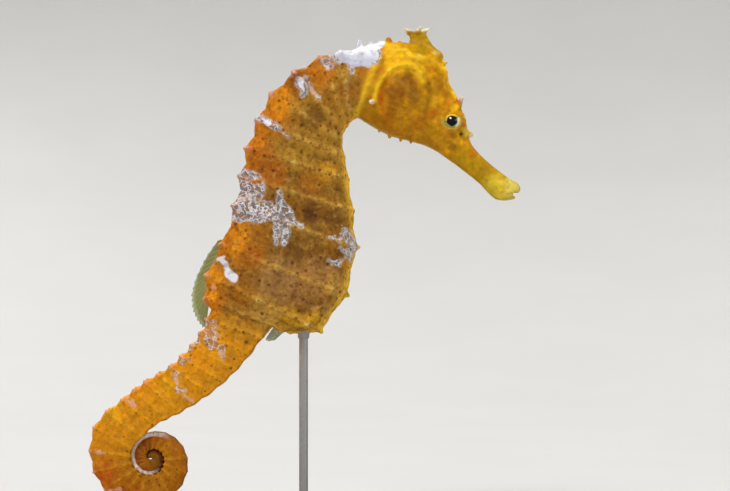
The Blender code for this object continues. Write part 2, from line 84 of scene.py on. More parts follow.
# Coil of the tail: a logarithmic spiral that its whorls fill
COIL_START = 23.0
COIL_CENTRE = np.array((-28.1, 15.0))
COIL_RADIUS = 11.4
COIL_START_ANGLE = math.radians(150.0)
COIL_TURN_PER_RING = math.radians(21.0)
COIL_TIGHTENING = 0.16
COIL_WHORL_GAP = -0.012
COIL_CORE = (38.0, 43.5)
COIL_CORE_SHARE = 0.08
COIL_HALF_WIDTH = (0.36, 0.44)
COIL_SQUARENESS = (3.6, 2.2)
SNOUT_TIP = -10.0
TAIL_TIP = 58.0
TAIL_TIP_TAPER = 5.0
TAIL_TIP_SHARE = 0.35

# Ridges along the body: angle from the back, height in the trunk and in the tail, first ring
RIDGES = (
    (43.0, 0.60, 0.45, 0.5),  # upper
    (88.0, 0.35, 0.00, 1.0),  # side
    (137.0, 0.35, 0.30, 4.0),  # lower
    (180.0, 0.30, 0.00, 5.0),  # keel of the belly
)
SIDE_RIDGE = 1
KEEL = 3
FLAT_BACK = (0.5, 4.0)
FLAT_BELLY = (12.0, 14.0)
FLAT_COIL_FADE = (26.0, 44.0)
RIDGE_BETWEEN_RINGS = 0.3
RIDGE_FADE_IN_RINGS = 2.0
RIDGE_WIDTH = 0.65
FACET_HOLLOW = 0.15
RING_GROOVE = 0.62
RING_CREST = 0.24
RING_CREST_WIDTH = 0.32
GROOVE_DEPTH_FULL_AT = 20.0
RINGS_BEGIN = 0.5
CALM_BELLY = 0.7
CALM_TAIL = 0.75
TAIL_RIDGES = (11.5, 13.5)
COIL_RIDGE_FADE = (23.0, 35.0)
COIL_RIDGE_LOSS = 0.9

# Knobs where ridges and rings meet: height on an ordinary ring and on a tall one
KNOB_HEIGHTS = ((0.24, 0.40), (0.12, 0.22), (0.12, 0.20), (0.06, 0.06))
TALL_RINGS = (1, 4, 7, 9, 11, 13, 16, 19, 22, 25)
BELLY_SPINE_RINGS = (9, 10, 11)
BELLY_SPINE_HEIGHT = 0.50
KNOB_WIDTH = 0.38
KNOB_SHARPNESS = 2.4
KNOB_IN_COIL = 0.35
KNOB_PALE_AT = 0.3
GIRTH_FULL_AT = 14.0
GIRTH_LEAST = 0.12
GRAIN = ((0.045, 1.7, 16), (0.045, 0.9, 8), (0.03, 0.45, 9))  # height, size, seed
GRAIN_LEAST = 0.25

# The remeshed skin
VOXEL = 0.14
ROWS_PER_RING = 10
SIDES = 128
STRAIGHT_FROM = 18.0
COIL_ZOOM = 0.5
SMOOTHING = (0.6, -0.62, 0.6, -0.62)

# Head
BOTH_SIDES = ((1, "left"), (-1, "right"))
EYE_CENTRE = np.array((25.8, 2.15, 75.65))
EYE_RADII = np.array((1.75, 1.3, 1.5))
EYE_MOUND_RADII = (2.6, 1.0, 2.35)
EYE_MOUND_DEPTH = 0.25
EYE_RIM_RADII = (1.62, 1.38)
EYE_RIM_THICKNESS = 0.24
EYE_RIM_Y = 2.66
EYE_RIM_SIDES = (40, 14)  # round the eye, round the rim
EYE_RINGS = 48
EYE_SIDES = 64
CORNEA_RISE = 0.10
CORNEA_REACH = 0.72
SPINE_SIDES = 16
SPINE_RINGS = 10
SPINE_SUNK = 0.4
SPINE_FLARE = 0.7
SPINE_TIP_TURNS = np.linspace(0.25, 1.45, 5)
HEAD_SPINES = (
    # root x, y, z, tip x, y, z, root radius, tip radius
    # above the eye
    (26.8, 1.3, 77.8, 27.6, 1.6, 79.8, 0.72, 0.36),
    # nose
    (27.4, 0.0, 73.9, 29.3, 0.0, 73.3, 1.05, 0.50),
    # brow
    (24.0, 0.6, 85.9, 24.9, 0.8, 86.3, 0.55, 0.20),
    # nape
    (9.5, 0.7, 88.6, 9.3, 0.9, 90.1, 0.85, 0.34), (11.4, 0.5, 89.0, 11.3, 0.7, 89.8, 0.60, 0.30),
    (13.1, 0.9, 88.8, 13.0, 1.1, 89.9, 0.62, 0.30), (14.9, 0.9, 88.5, 14.5, 1.1, 90.2, 1.05, 0.58),
    (16.0, 0.8, 88.2, 16.4, 1.0, 89.7, 0.80, 0.38),
    # edge of the cheek
    (18.5, 1.2, 72.5, 18.6, 1.4, 72.0, 0.42, 0.22), (16.7, 1.1, 73.0, 16.7, 1.3, 72.4, 0.46, 0.24),
    (14.7, 1.0, 73.6, 14.7, 1.2, 73.0, 0.44, 0.24), (12.9, 0.9, 74.6, 12.8, 1.1, 74.0, 0.50, 0.30),
    # shoulder
    (12.2, 3.3, 78.9, 11.3, 5.1, 78.9, 0.75, 0.40),
)
CROWN_MOUNDS = (
    ((22.3, 0.0, 87.2), (2.05, 1.8, 1.6)),
    ((22.6, 0.0, 85.0), (2.1, 1.8, 2.6)),
)
UPPER_LIP = ((37.25, 0.0, 63.65), (0.98, 1.05, 0.98))
LOWER_LIP = ((36.45, 0.0, 62.05), (0.90, 0.92, 0.44))
MOUTH_SLIT = ((38.2, 62.4), (37.0, 62.6), (35.9, 62.5))
MOUTH_SLIT_DEPTH = 0.26
MOUTH_SLIT_WIDTH = 0.17
GILL_COVER_CENTRE = (16.9, 79.9)
GILL_COVER_RADII = (3.9, 4.9)
GILL_COVER_LEAN = math.radians(12.0)
GILL_COVER_BULGE = 0.40
# Groove and lip at the open edge: height, place as a share of the way to the edge, width
GILL_COVER_EDGE = ((-0.34, 1.0, 0.055), (0.16, 1.12, 0.06))
GILL_COVER_OPENING = math.radians(140.0)
GILL_COVER_STRIAE = 0.03
STRIAE_PER_RADIAN = 34.0
STRIAE_ROOT = (20.3, 77.0)
GILL_COVER_SLASH = ((15.2, 83.3), (17.4, 81.8), (19.4, 79.8))
NOSTRIL = (27.5, 73.3)
NOSTRIL_RINGS = ((0.12, 0.42, 0.14), (-0.38, 0.0, 0.2))  # height, radius, width

# Raised lines on the sides of the head: height, width, points x and z. The first few are brighter yellow
# along them, partly their own colour and partly painted highlight
LINES_WITH_HIGHLIGHT = 6
HEAD_LINES = (
    (0.28, 0.34, ((11.9, 79.4), (12.5, 81.4), (13.5, 83.1), (14.6, 84.2))),  # arch
    (0.46, 0.54, ((14.8, 84.4), (16.6, 85.3), (18.2, 85.4), (19.4, 84.8), (20.0, 83.9))),
    (0.16, 0.36, ((20.0, 83.8), (20.7, 82.4))),
    (0.28, 0.38, ((12.4, 86.4), (10.9, 82.8), (9.6, 79.0), (8.6, 76.9))),  # collar
    (0.44, 0.36, ((13.6, 89.6), (15.6, 88.0), (17.5, 88.1), (18.6, 87.0), (20.8, 86.6))),  # crest
    (0.34, 0.32, ((24.2, 88.2), (24.7, 85.6), (25.6, 82.4), (26.6, 79.8))),  # forehead
    (0.28, 0.32, ((21.6, 82.6), (22.9, 80.0), (23.9, 78.0))),  # temple
    (0.26, 0.32, ((20.6, 76.2), (22.4, 74.6), (24.6, 73.2), (27.2, 71.0))),  # cheek
    (0.20, 0.26, ((27.8, 71.6), (30.4, 69.3), (33.2, 66.9), (35.6, 65.0))),  # snout
)
HEAD_KNOBS = (
    # x, z, height, width
    (13.1, 86.4, 0.35, 0.35), (22.0, 83.3, 0.32, 0.34), (29.0, 69.5, 0.28, 0.30),
    (24.3, 79.2, 0.30, 0.38), (26.9, 77.9, 0.28, 0.40), (21.4, 86.3, 0.25, 0.40),
    (18.6, 86.9, 0.22, 0.34), (23.2, 74.0, 0.18, 0.26), (24.7, 72.0, 0.18, 0.26),
    (27.0, 69.8, 0.16, 0.24),
)

# Coronet: height, centre x, half length, half width, depth of the star
CORONET_LEVELS = (
    (84.5, 20.9, 3.6, 2.6, 0.0), (87.4, 20.8, 3.4, 2.3, 0.0), (88.6, 20.4, 2.8, 1.9, 0.02),
    (89.6, 20.1, 2.1, 1.55, 0.04), (90.5, 19.9, 1.65, 1.3, 0.07), (91.2, 19.7, 1.5, 1.3, 0.12),
    (91.7, 19.5, 1.6, 1.5, 0.22), (92.0, 19.4, 1.75, 1.7, 0.32),
)
CORONET_POINTS = 5
CORONET_DISH = 1.0
CORONET_DISH_RINGS = (0.75, 0.45, 0.2)
CORONET_SIDES = 60
CORONET_TIP_REACH = 0.25
CORONET_TIP_RISE = 0.45
CORONET_TIP_RADII = (0.50, 0.20)
CORONET_TIP_ROOT = (0.8, -0.1)  # share of the way out, height over the rim
CORONET_TIP_SWELL = 0.4
CORONET_SWELL = 1.6
CORONET_LOWER_TIPS = 0.3

# White patches, white lace and pink flecks: start x and z, end x and z, radius
SOLID_MARKS = (
    # nape
    (6.6, 88.9, 12.6, 89.6, 1.25), (6.4, 87.6, 11.2, 87.4, 1.45), (8.0, 86.2, 10.8, 85.8, 0.70),
    # by the dorsal fin
    (-16.4, 50.8, -14.8, 51.4, 0.34), (-15.2, 50.8, -14.2, 49.0, 0.42),
    (-14.1, 48.6, -13.0, 47.4, 0.70),
    # shoulder
    (-1.3, 82.4, -0.7, 81.4, 0.40), (-7.4, 75.3, -6.9, 75.0, 0.30),
)
LACE_MARKS = (
    # nape
    (5.4, 87.8, 11.6, 87.4, 1.7), (7.6, 85.9, 8.0, 84.3, 0.60), (3.3, 86.1, 3.9, 85.7, 0.70),
    (1.8, 87.2, 5.4, 88.4, 0.55),
    # shoulder
    (-3.2, 83.9, -0.9, 85.4, 0.55), (-1.4, 82.6, -0.5, 80.9, 0.95), (-0.4, 83.4, 1.8, 80.0, 0.26),
    (-8.9, 76.2, -6.4, 74.9, 0.85), (-6.4, 74.6, -3.6, 73.0, 0.45),
    # saddle
    (-11.9, 66.4, -9.4, 65.6, 0.85), (-12.4, 63.4, -8.8, 63.0, 1.6), (-13.0, 59.6, -7.6, 59.6, 2.1),
    (-7.6, 59.3, -6.3, 59.4, 0.9),
    # star
    (-4.6, 59.4, -3.9, 58.6, 1.75), (-4.9, 60.8, -4.9, 62.9, 0.50), (-3.2, 58.2, -1.2, 56.9, 0.65),
    (-5.1, 57.4, -5.7, 54.0, 0.70), (-3.6, 57.0, -4.1, 53.9, 0.65),
    # by the dorsal fin
    (-13.4, 47.6, -10.4, 47.0, 0.80),
    # root of the tail
    (-17.3, 39.4, -16.6, 37.0, 0.55), (-18.2, 36.4, -14.0, 34.6, 0.95),
    (-15.6, 34.6, -14.6, 32.8, 0.60), (-18.6, 37.4, -20.4, 35.4, 0.40),
    (-21.8, 33.8, -22.6, 32.6, 0.30), (-23.8, 31.0, -22.4, 27.6, 0.42),
    # belly
    (4.2, 55.1, 5.8, 54.3, 0.36), (7.0, 56.0, 8.4, 53.0, 0.95), (3.8, 50.7, 5.6, 50.4, 0.55),
    (6.2, 52.6, 8.0, 51.6, 0.50),
)
SADDLE_X = (-14.5, -6.4)
SADDLE_Z = (57.0, 66.5)  # sharp low edge, top
BELLY_LACE = (3.0, 58.0)  # least x, greatest z
LACE_SCATTERS = (12.0, 13.0)
PINK_MARKS = (
    # tail
    (-23.7, 30.0, -23.2, 28.9, 0.28), (-22.9, 27.3, -22.1, 26.5, 0.30),
    (-21.5, 25.9, -20.8, 25.7, 0.28), (-32.2, 25.7, -30.9, 25.0, 0.36),
    (-30.9, 25.0, -30.5, 23.9, 0.24), (-37.9, 16.5, -36.4, 16.3, 0.24), (-35.3, 9.5, -33.4, 9.9, 0.22),
    # back
    (-16.9, 46.1, -16.5, 46.0, 0.30), (0.6, 81.2, 2.0, 79.2, 0.18),
)

# Pools of colour: x, z, radius, strength, colour name
COLOUR_POOLS = (
    # shoulder and back
    (2.5, 84.0, 2.6, 0.80, "orange"), (-1.6, 82.6, 2.6, 0.60, "rust"),
    (-5.0, 78.5, 3.0, 0.85, "bright"), (-4.0, 80.4, 1.6, 0.60, "bright"),
    (-9.6, 73.4, 2.6, 0.70, "orange"), (-8.0, 68.6, 3.2, 0.75, "deep"), (7.6, 80.8, 2.0, 0.80, "deep"),
    (4.0, 80.0, 3.0, 0.45, "amber"), (6.4, 84.4, 1.5, 0.50, "straw_brown"),
    (1.5, 76.0, 2.2, 0.55, "umber"), (4.2, 72.2, 3.6, 0.70, "olive"), (-2.0, 69.5, 3.6, 0.70, "olive"),
    (3.2, 66.5, 2.2, 0.45, "gold"), (5.8, 69.2, 1.5, 0.40, "straw_brown"),
    (6.4, 58.9, 1.2, 0.45, "straw_brown"),
    # dark bands between the lower rings
    (1.0, 64.6, 3.2, 0.60, "amber"), (-5.6, 66.2, 2.4, 0.75, "deep"), (1.5, 60.6, 3.0, 0.80, "umber"),
    (5.0, 58.6, 2.4, 0.70, "umber"), (-0.6, 63.0, 1.6, 0.60, "rust"), (1.6, 55.0, 2.4, 0.60, "umber"),
    (5.6, 52.0, 1.2, 0.75, "rust"), (-1.5, 52.6, 2.6, 0.45, "umber"), (-8.8, 54.4, 3.0, 0.55, "amber"),
    (-12.0, 55.4, 2.0, 0.80, "bright"), (-12.4, 53.0, 1.8, 0.80, "bright"),
    (-9.8, 51.6, 2.6, 0.80, "deep"), (-16.2, 47.6, 1.9, 0.95, "bright"),
    (-17.0, 44.6, 1.7, 0.85, "bright"), (-4.0, 48.6, 3.2, 0.45, "umber"),
    (1.4, 47.0, 5.6, 0.40, "rose"), (-5.0, 46.4, 5.4, 0.36, "rose"), (-11.4, 44.2, 3.0, 0.60, "amber"),
    (3.4, 41.8, 2.6, 0.60, "straw_brown"), (1.0, 39.6, 2.2, 0.60, "gold"),
    (6.6, 50.2, 1.4, 0.65, "bright"), (-7.4, 41.4, 3.6, 0.85, "straw_brown"),
    (-3.0, 40.4, 2.4, 0.50, "gold"), (4.8, 46.2, 3.0, 0.90, "straw_brown"),
    (0.3, 58.9, 1.8, 0.90, "dark_umber"),
    # tail
    (-19.4, 32.4, 2.6, 0.75, "bright"), (-24.6, 28.8, 2.6, 0.45, "gold"),
    (-29.6, 27.2, 2.6, 0.60, "bright"), (-35.0, 24.0, 2.8, 0.60, "gold"),
    (-36.2, 12.0, 3.0, 0.65, "red"), (-31.4, 7.6, 3.2, 0.70, "red"),
    # head
    (13.0, 79.4, 1.1, 0.70, "deep"), (13.4, 82.0, 0.9, 0.50, "deep"),
    (17.9, 83.6, 1.2, 0.70, "gill_dark"), (21.4, 81.6, 1.1, 0.50, "gill_dark"),
    (18.7, 79.2, 1.4, 0.45, "gill_dark"), (14.9, 81.0, 1.2, 0.45, "gill_dark"),
    (14.6, 76.0, 1.9, 0.50, "deep"), (19.6, 75.6, 1.8, 0.45, "deep"), (22.8, 77.1, 1.0, 0.65, "red"),
    (21.6, 76.4, 1.4, 0.55, "deep"), (24.6, 78.4, 1.2, 0.55, "bright"),
    # the gold pool at 26.2, 78.0 and the bright pool at 25.5, 79.4 are painted highlights on the knobs
    # above the eye
    (22.4, 79.2, 1.1, 0.60, "gold"), (26.2, 78.0, 0.9, 0.85, "gold"), (26.9, 79.4, 0.8, 0.50, "red"),
    (25.5, 79.4, 0.8, 0.60, "bright"), (25.2, 73.4, 0.9, 0.60, "deep"),
    (26.2, 73.0, 0.7, 0.50, "gill_dark"), (25.8, 71.0, 0.8, 0.40, "gill_dark"),
    (28.5, 73.8, 1.1, 0.70, "lemon"), (29.5, 73.0, 0.7, 0.90, "cream"), (27.8, 75.0, 0.6, 0.60, "red"),
    (28.2, 76.4, 0.7, 0.60, "straw"), (29.8, 70.3, 1.1, 0.50, "red"),
    (28.2, 71.8, 0.8, 0.65, "bright"), (23.4, 82.6, 1.5, 0.20, "deep"),
    (24.4, 80.6, 1.3, 0.35, "deep"), (20.4, 88.8, 2.4, 0.85, "lime"),
    (19.8, 86.8, 0.9, 0.90, "pale_lime"), (23.2, 88.0, 0.9, 0.60, "pale_lime"),
    (22.0, 86.4, 1.5, 0.60, "gold"), (18.0, 87.4, 1.6, 0.45, "gold"),
    (15.4, 88.2, 2.0, 0.90, "yellow"), (13.1, 84.4, 1.0, 0.60, "orange"),
    (10.9, 79.6, 1.6, 0.45, "olive"), (36.4, 63.9, 1.7, 0.85, "straw"),
    (33.8, 63.6, 2.8, 0.60, "lemon"), (31.8, 67.4, 1.4, 0.35, "olive"),
)
# Some of these colours paint light and shade. The bright yellow of the head's raised lines and of the
# keel is painted highlight and rim light. The pale rim colour is painted rim light under the head. The
# pale pink one is a painted highlight on the inner whorl. The nostril's dark and the coil's near-black
# core are painted shade. The inner whorl's dark red is partly painted shade.
COLOURS = dict(
    orange=(202, 116, 6), bright=(226, 142, 10), deep=(168, 88, 8), amber=(172, 106, 12),
    ochre=(158, 112, 30), olive=(164, 122, 34), straw_brown=(198, 150, 62), rust=(112, 58, 14),
    umber=(108, 70, 26), dark_umber=(80, 46, 12), rose=(188, 140, 88), gold=(232, 172, 16),
    yellow=(242, 182, 10), sunny=(252, 200, 34), lemon=(232, 208, 62), spine_tip=(236, 214, 204),
    cream=(240, 236, 204), straw=(236, 214, 104), lime=(180, 140, 0), pale_lime=(226, 206, 110),
    red=(190, 78, 8), gill=(150, 88, 6), gill_dark=(112, 64, 4), head=(198, 140, 4), jaw=(178, 118, 4),
    tail=(230, 150, 8), tail_low=(200, 134, 18), coil=(158, 86, 4), coil_inner=(132, 42, 2),
    coil_core=(74, 26, 8), pale_rim=(220, 192, 104), rim_pink=(255, 240, 230), white=(244, 244, 248),
    lilac=(148, 141, 150), lilac_blue=(174, 177, 200), lilac_dark=(102, 92, 86), pink=(232, 176, 156),
    dot=(92, 42, 10), fin_green=(120, 136, 44), fin_yellow=(206, 190, 60), fin_root=(214, 140, 22),
    fin_pale=(196, 206, 180), iris=(178, 172, 84), iris_edge=(134, 122, 34), nostril=(66, 20, 6),
    pupil=(3, 3, 5), walnut_dark=(58, 32, 18), walnut_light=(112, 68, 40), paper=(206, 205, 203),
)

# Dots
DOT_ROWS = 2  # to a ring
DOT_ROW_WIDTH = 0.06
DOT_SPACING = 1.75
DOT_JITTER = 0.22
STRAY_DOTS = 1500
DOTS_SPAN = (0.8, TAIL_TIP - 8.0)
DOT_LEAST = 1.1  # distance between two dots
DOT_LEAST_SPREAD = (0.8, 1.5)
DOT_RADIUS = (0.10, 0.30)
DOT_DARKNESS = (0.20, 0.75)
DOT_FAR = 3.0

# Fins: angles at both ends, lengths at start, middle and end, rays, depth of the roots, wave, seed
DORSAL_FIN_SPAN = (9.8, 12.1)  # in s
DORSAL_FIN = ((190.0, 262.0), (1.8, 5.2, 5.2), 17, 0.9, 0.30, 3)
ANAL_FIN_SPAN = (12.15, 12.55)  # in s
ANAL_FIN = ((222.0, 236.0), (2.6, 3.4, 2.8), 4, 0.9, 0.12, 5)
PECTORAL_FIN = ((150.0, 214.0), (3.9, 4.8, 3.9), 9, 0.7, 0.22, 6)
PECTORAL_ROOT = np.array((10.8, 3.4, 80.6))
PECTORAL_ROOT_HEIGHT = 3.0
PECTORAL_SPREAD = math.radians(24.0)
COLUMNS_PER_RAY = 8
ROWS_OF_FIN = 30
RAY_WIDTH = 0.16
FILM_SHORTER = 0.06
RAYS_UNEVEN = 0.03
FILM_THICKNESS = 0.05
RAY_THICKNESS = 0.085
ROOT_THICKNESS = 0.22

# Stand
BASE_LENGTH = 78.0
BASE_WIDTH = 34.0
BASE_THICKNESS = 4.0
BASE_CORNER_RADIUS = 9.0
BASE_CORNER_STEPS = 24
BASE_EDGE = 0.9
BASE_FOOT = ((0.9, 0.0), (0.5, 0.0), (0.45, 0.05), (0.45, 0.45), (0.40, 0.5))  # inset, height
ROD_RADIUS = 0.8
ROD_SIDES = 48
RODS = ((-0.8, 37.9), (-28.1, 6.9))  # x, height of the body's underside there
# Rings of a rod and its flange over the base's top, and of a rod and its cup over the underside
ROD_FOOT = ((ROD_RADIUS, -2.2), (ROD_RADIUS, 0.3))
ROD_HEAD = ((ROD_RADIUS, -1.2), (ROD_RADIUS, 1.6))
FLANGE = ((1.75, -0.15), (1.75, 0.28), (1.62, 0.42), (1.15, 0.50), (1.05, 0.65), (1.02, 1.25))
FLANGE += ((0.94, 1.38), (0.60, 1.40))
CUP = ((0.70, -1.30), (0.98, -1.20), (1.04, -1.05), (1.04, -0.45), (1.16, -0.30), (1.18, 0.5))
CUP_NEEDS_HEIGHT = 6.0
STEEL_DARK = (0.62, 0.62, 0.61)
STEEL_LIGHT = (0.78, 0.78, 0.76)

# Camera and light
LENS = 100.0
SENSOR = 36.0
VIEW_WIDTH = 131.4
VIEW_CENTRE = (10.26, 53.39)
CLIP = (10.0 * MM, 10.0)
LAMP_TARGET = (0.0, 0.0, 50.0)
LAMPS = (
    # name, place, size, watts, whether it shows in gloss, tint
    ("key", (-200.0, -460.0, 700.0), 240.0, 3.5, True, (1.0, 0.98, 0.95)),
    ("fill", (620.0, -420.0, 260.0), 400.0, 0.5, True, (0.95, 0.97, 1.0)),
    ("rim", (-420.0, 520.0, 480.0), 300.0, 1.8, True),
    ("rim_front", (520.0, 480.0, 300.0), 300.0, 1.0, False),
)
WALL_LAMPS = 4
WALL_LAMP_PLACE = (150.0, 1250.0)  # distance from the middle, height
WALL_LAMP_TARGET = (1250.0, 500.0)
WALL_LAMP_SIZE = 350.0
WALL_LAMP_WATTS = 4.0
FLOOR_RADIUS = 260.0
SWEEP_RADIUS = 1040.0
SWEEP_SIDES = 96
WALL_HEIGHT = 1500.0
WORLD_STRENGTH = 0.16

# The skin laid out flat
MAP_SIDE = 99.5
MAP_STRIPS = (
    # start and end of s, place of the strip's start on the map, whether it lies on its side
    (SNOUT_TIP - 1.0, -6.0, 56.6, 71.6, False),
    (-6.0, 0.5, 63.2, 23.3, True),
    (0.5, 12.5, 31.6, 1.0, False),
    (12.5, 23.0, 81.2, 46.6, False),
    (23.0, 30.0, 12.6, 71.6, False),
    (30.0, 40.0, 32.0, 71.6, False),
    (40.0, TAIL_TIP + 1.0, 44.8, 71.6, False),
)
CORONET_AXIS = (20.0, 0.0, 88.6)
CORONET_REACH = 3.4
CORONET_MAP_RADIUS = 1.9
CORONET_MAP_STRETCH = (1.3, 1.2)  # side, top
CORONET_SIDE_AT = (72.0, 85.0)
CORONET_TOP_AT = (88.0, 90.0)

# The solids that the skin replaces
FLESH = ["snout", "head", "gill_cover_left", "gill_cover_right", "coronet", "neck", "trunk_upper"]
FLESH += ["trunk_middle", "trunk_lower", "tail_root", "tail_middle", "tail_coil_outer"]
FLESH += ["tail_coil_middle", "tail_coil_inner", "tail_tip"]


def blend(start, end, share):
    return start + (end - start) * share


def ramp(value, start, end):
    return np.clip((value - start) / (end - start), 0.0, 1.0)


def soft(value, start, end):
    """0 before start, 1 after end, and eased in between."""
    t = ramp(value, start, end)
    return t * t * (3.0 - 2.0 * t)


def fade(value, start, end):
    """1 before start, 0 after end, and eased in between."""
    return 1.0 - soft(value, start, end)


def bump(distance, width):
    return np.exp(-0.5 * (distance / width) ** 2)


def stacked(*coordinates):
    return np.stack(coordinates, -1)


def full_turn(count):
    return np.arange(count) * math.tau / count


def length_of(vectors):
    return np.linalg.norm(vectors, axis=-1)


def colour(name):
    """A named colour as linear light."""
    c = np.array(COLOURS[name]) / 255.0
    return np.where(c <= 0.04045, c / 12.92, ((c + 0.055) / 1.055) ** 2.4)


def noise(points, size, seed=0):
    """Smooth noise from -1 to 1 at points, with cells of this size."""
    scaled = points / size + 100.0 * seed
    cell = np.floor(scaled).astype(np.int64)
    f = scaled - cell
    f = f * f * (3.0 - 2.0 * f)
    total = np.zeros(len(points))
    for step in np.ndindex(2, 2, 2):
        c = cell + step[::-1]
        h = c[:, 0] * 374761393 + c[:, 1] * 668265263 + c[:, 2] * 1442695041
        h = (h ^ (h >> 13)) & 0xFFFFFFFF
        h = (h * 1274126177) & 0xFFFFFFFF
        value = ((h ^ (h >> 16)) & 0xFFFF) / 32767.5 - 1.0
        total += value * np.where(step[::-1], f, 1.0 - f).prod(axis=1)
    return total


# The body's tube


def coil_rib(s):
    turned = (s - COIL_START) * COIL_TURN_PER_RING
    outer = COIL_RADIUS * np.exp(-COIL_TIGHTENING * turned)
    core = blend(1.0, COIL_CORE_SHARE, ramp(s, *COIL_CORE))
    inner = outer * core * (math.exp(-COIL_TIGHTENING * math.tau) + COIL_WHORL_GAP)
    along = ramp(s, COIL_START, TAIL_TIP)
    half_width = (outer - inner) * blend(*COIL_HALF_WIDTH, along)
    tip = np.clip((TAIL_TIP - s) / TAIL_TIP_TAPER, 0.0, 1.0)
    size = blend(TAIL_TIP_SHARE, 1.0, np.sqrt(1.0 - (1.0 - tip) ** 2))
    middle = 0.5 * (outer + inner)
    angle = COIL_START_ANGLE + turned
    direction = stacked(np.cos(angle), np.sin(angle))
    edges = [COIL_CENTRE + direction * blend(middle, edge, size)[:, None] for edge in (outer, inner)]
    return *edges, half_width * size, blend(*COIL_SQUARENESS, along)


def station_table():
    """The stations with two ribs of the coil after them, and the slope at each."""
    rows = list(STATIONS)
    for s in (COIL_START, COIL_START + 2.0):
        back, belly, half_width, squareness = coil_rib(np.array([s]))
        rows.append([s, *back[0], *belly[0], half_width[0], squareness[0]])
    table = np.array(rows)
    after = np.minimum(np.arange(len(table)) + 1, len(table) - 1)
    before = np.maximum(np.arange(len(table)) - 1, 0)
    slope = (table[after, 1:] - table[before, 1:]) / (table[after, 0] - table[before, 0])[:, None]
    return table, slope


TABLE, SLOPE = station_table()


def rib(s):
    """Back points, belly points, half widths and squarenesses of the ribs at s."""
    s = np.asarray(s, float)
    index = np.clip(np.searchsorted(TABLE[:, 0], s, "right") - 1, 0, len(TABLE) - 2)
    low, high = TABLE[index], TABLE[index + 1]
    step = (high[:, 0] - low[:, 0])[:, None]
    t = (s - low[:, 0])[:, None] / step
    values = (
        low[:, 1:] * (2 * t**3 - 3 * t**2 + 1)
        + high[:, 1:] * (3 * t**2 - 2 * t**3)
        + SLOPE[index] * step * (t**3 - 2 * t**2 + t)
        + SLOPE[index + 1] * step * (t**3 - t**2)
    )
    straight = (values[:, 0:2], values[:, 2:4], values[:, 4], values[:, 5])
    pairs = zip(straight, coil_rib(np.maximum(s, COIL_START)))
    coiled = s >= COIL_START
    return [np.where(coiled[:, None] if a.ndim == 2 else coiled, b, a) for a, b in pairs]


def frame_of(s):
    """Middle, upward direction and depth of the ribs at s."""
    back, belly, _, _ = rib(s)
    depth = length_of(back - belly)
    return 0.5 * (back + belly), (back - belly) / depth[:, None], depth


def slice_offsets(s, turn):
    """Rise and sideways place of a point on the smooth tube, from the middle of its rib."""
    _, _, half_width, squareness = rib(s)
    power = 2.0 / squareness
    cosine, sine = np.cos(turn), np.sin(turn)
    height = np.abs(cosine) ** power
    corner = abs(math.cos(math.radians(RIDGES[0][0]))) ** power
    level = np.where(cosine > 0.0, soft(s, *FLAT_BACK), soft(s, *FLAT_BELLY))
    level = level * (1.0 - ramp(s, *FLAT_COIL_FADE))
    height = blend(height, np.minimum(height / corner, 1.0), level)
    rise = 0.5 * frame_of(s)[2] * np.copysign(height, cosine)
    return rise, half_width * np.copysign(np.abs(sine) ** power, sine)


S_GRID = np.linspace(SNOUT_TIP, TAIL_TIP, int(TAIL_TIP - SNOUT_TIP) * ROWS_PER_RING + 1)
TURN_GRID = np.linspace(-math.pi, math.pi, SIDES + 1)


def straight_table():
    """How far along the straightened tail each row lies, and how much that row is enlarged."""
    step = length_of(np.diff(frame_of(S_GRID)[0], axis=0))
    turned = np.maximum(S_GRID - COIL_START, 0.0) * COIL_TURN_PER_RING
    zoom = np.exp(COIL_ZOOM * COIL_TIGHTENING * turned)
    length = np.concatenate([[0.0], np.cumsum(step * 0.5 * (zoom[1:] + zoom[:-1]))])
    return length - np.interp(STRAIGHT_FROM, S_GRID, length), zoom


STRAIGHT_LENGTH, STRAIGHT_ZOOM = straight_table()
PIVOT, PIVOT_UP, _ = (value[0] for value in frame_of(np.array([STRAIGHT_FROM])))
PIVOT_ALONG = np.array((-PIVOT_UP[1], PIVOT_UP[0]))


def beside(xz, y):
    return stacked(xz[:, 0], y, xz[:, 1])


def placed(s, rise, y):
    """Points of the ribs at s in space."""
    middle, up, _ = frame_of(s)
    return beside(middle + up * rise[:, None], y)


def straightened(s, rise, y):
    """The same points with the tail laid out straight."""
    length = np.interp(s, S_GRID, STRAIGHT_LENGTH)
    zoom = np.interp(s, S_GRID, STRAIGHT_ZOOM)
    laid = PIVOT + PIVOT_ALONG * length[:, None] + PIVOT_UP * (rise * zoom)[:, None]
    return np.where((s > STRAIGHT_FROM)[:, None], beside(laid, y * zoom), placed(s, rise, y))


def curled(points):
    """Straightened points back in place."""
    offset = points[:, [0, 2]] - PIVOT
    length = offset @ PIVOT_ALONG
    s = np.interp(length, STRAIGHT_LENGTH, S_GRID)
    zoom = np.interp(s, S_GRID, STRAIGHT_ZOOM)
    over = np.maximum(length - STRAIGHT_LENGTH[-1], 0.0) / zoom
    middle, up, _ = frame_of(s)
    along = stacked(-up[:, 1], up[:, 0])
    xz = middle + up * ((offset @ PIVOT_UP) / zoom)[:, None] + along * over[:, None]
    return np.where((length > 0.0)[:, None], beside(xz, points[:, 1] / zoom), points)


def tube_grid():
    s, turn = (grid.ravel() for grid in np.meshgrid(S_GRID, TURN_GRID[:-1], indexing="ij"))
    return s, turn, *slice_offsets(s, turn)


def surface_tables():
    """Distance round the rib from the back, and between rings along the body, by row and turn."""
    s, turn = np.meshgrid(S_GRID, TURN_GRID, indexing="ij")
    rise, y = slice_offsets(s.ravel(), turn.ravel())
    points = placed(s.ravel(), rise, y).reshape(*s.shape, 3)
    half = SIDES // 2
    step = length_of(np.diff(points[:, half:], axis=1))
    round_rib = np.concatenate([np.zeros((len(s), 1)), np.cumsum(step, axis=1)], axis=1)
    return round_rib, length_of(np.gradient(points, S_GRID, axis=0))[:, half:]


ROUND_RIB, PITCH = surface_tables()


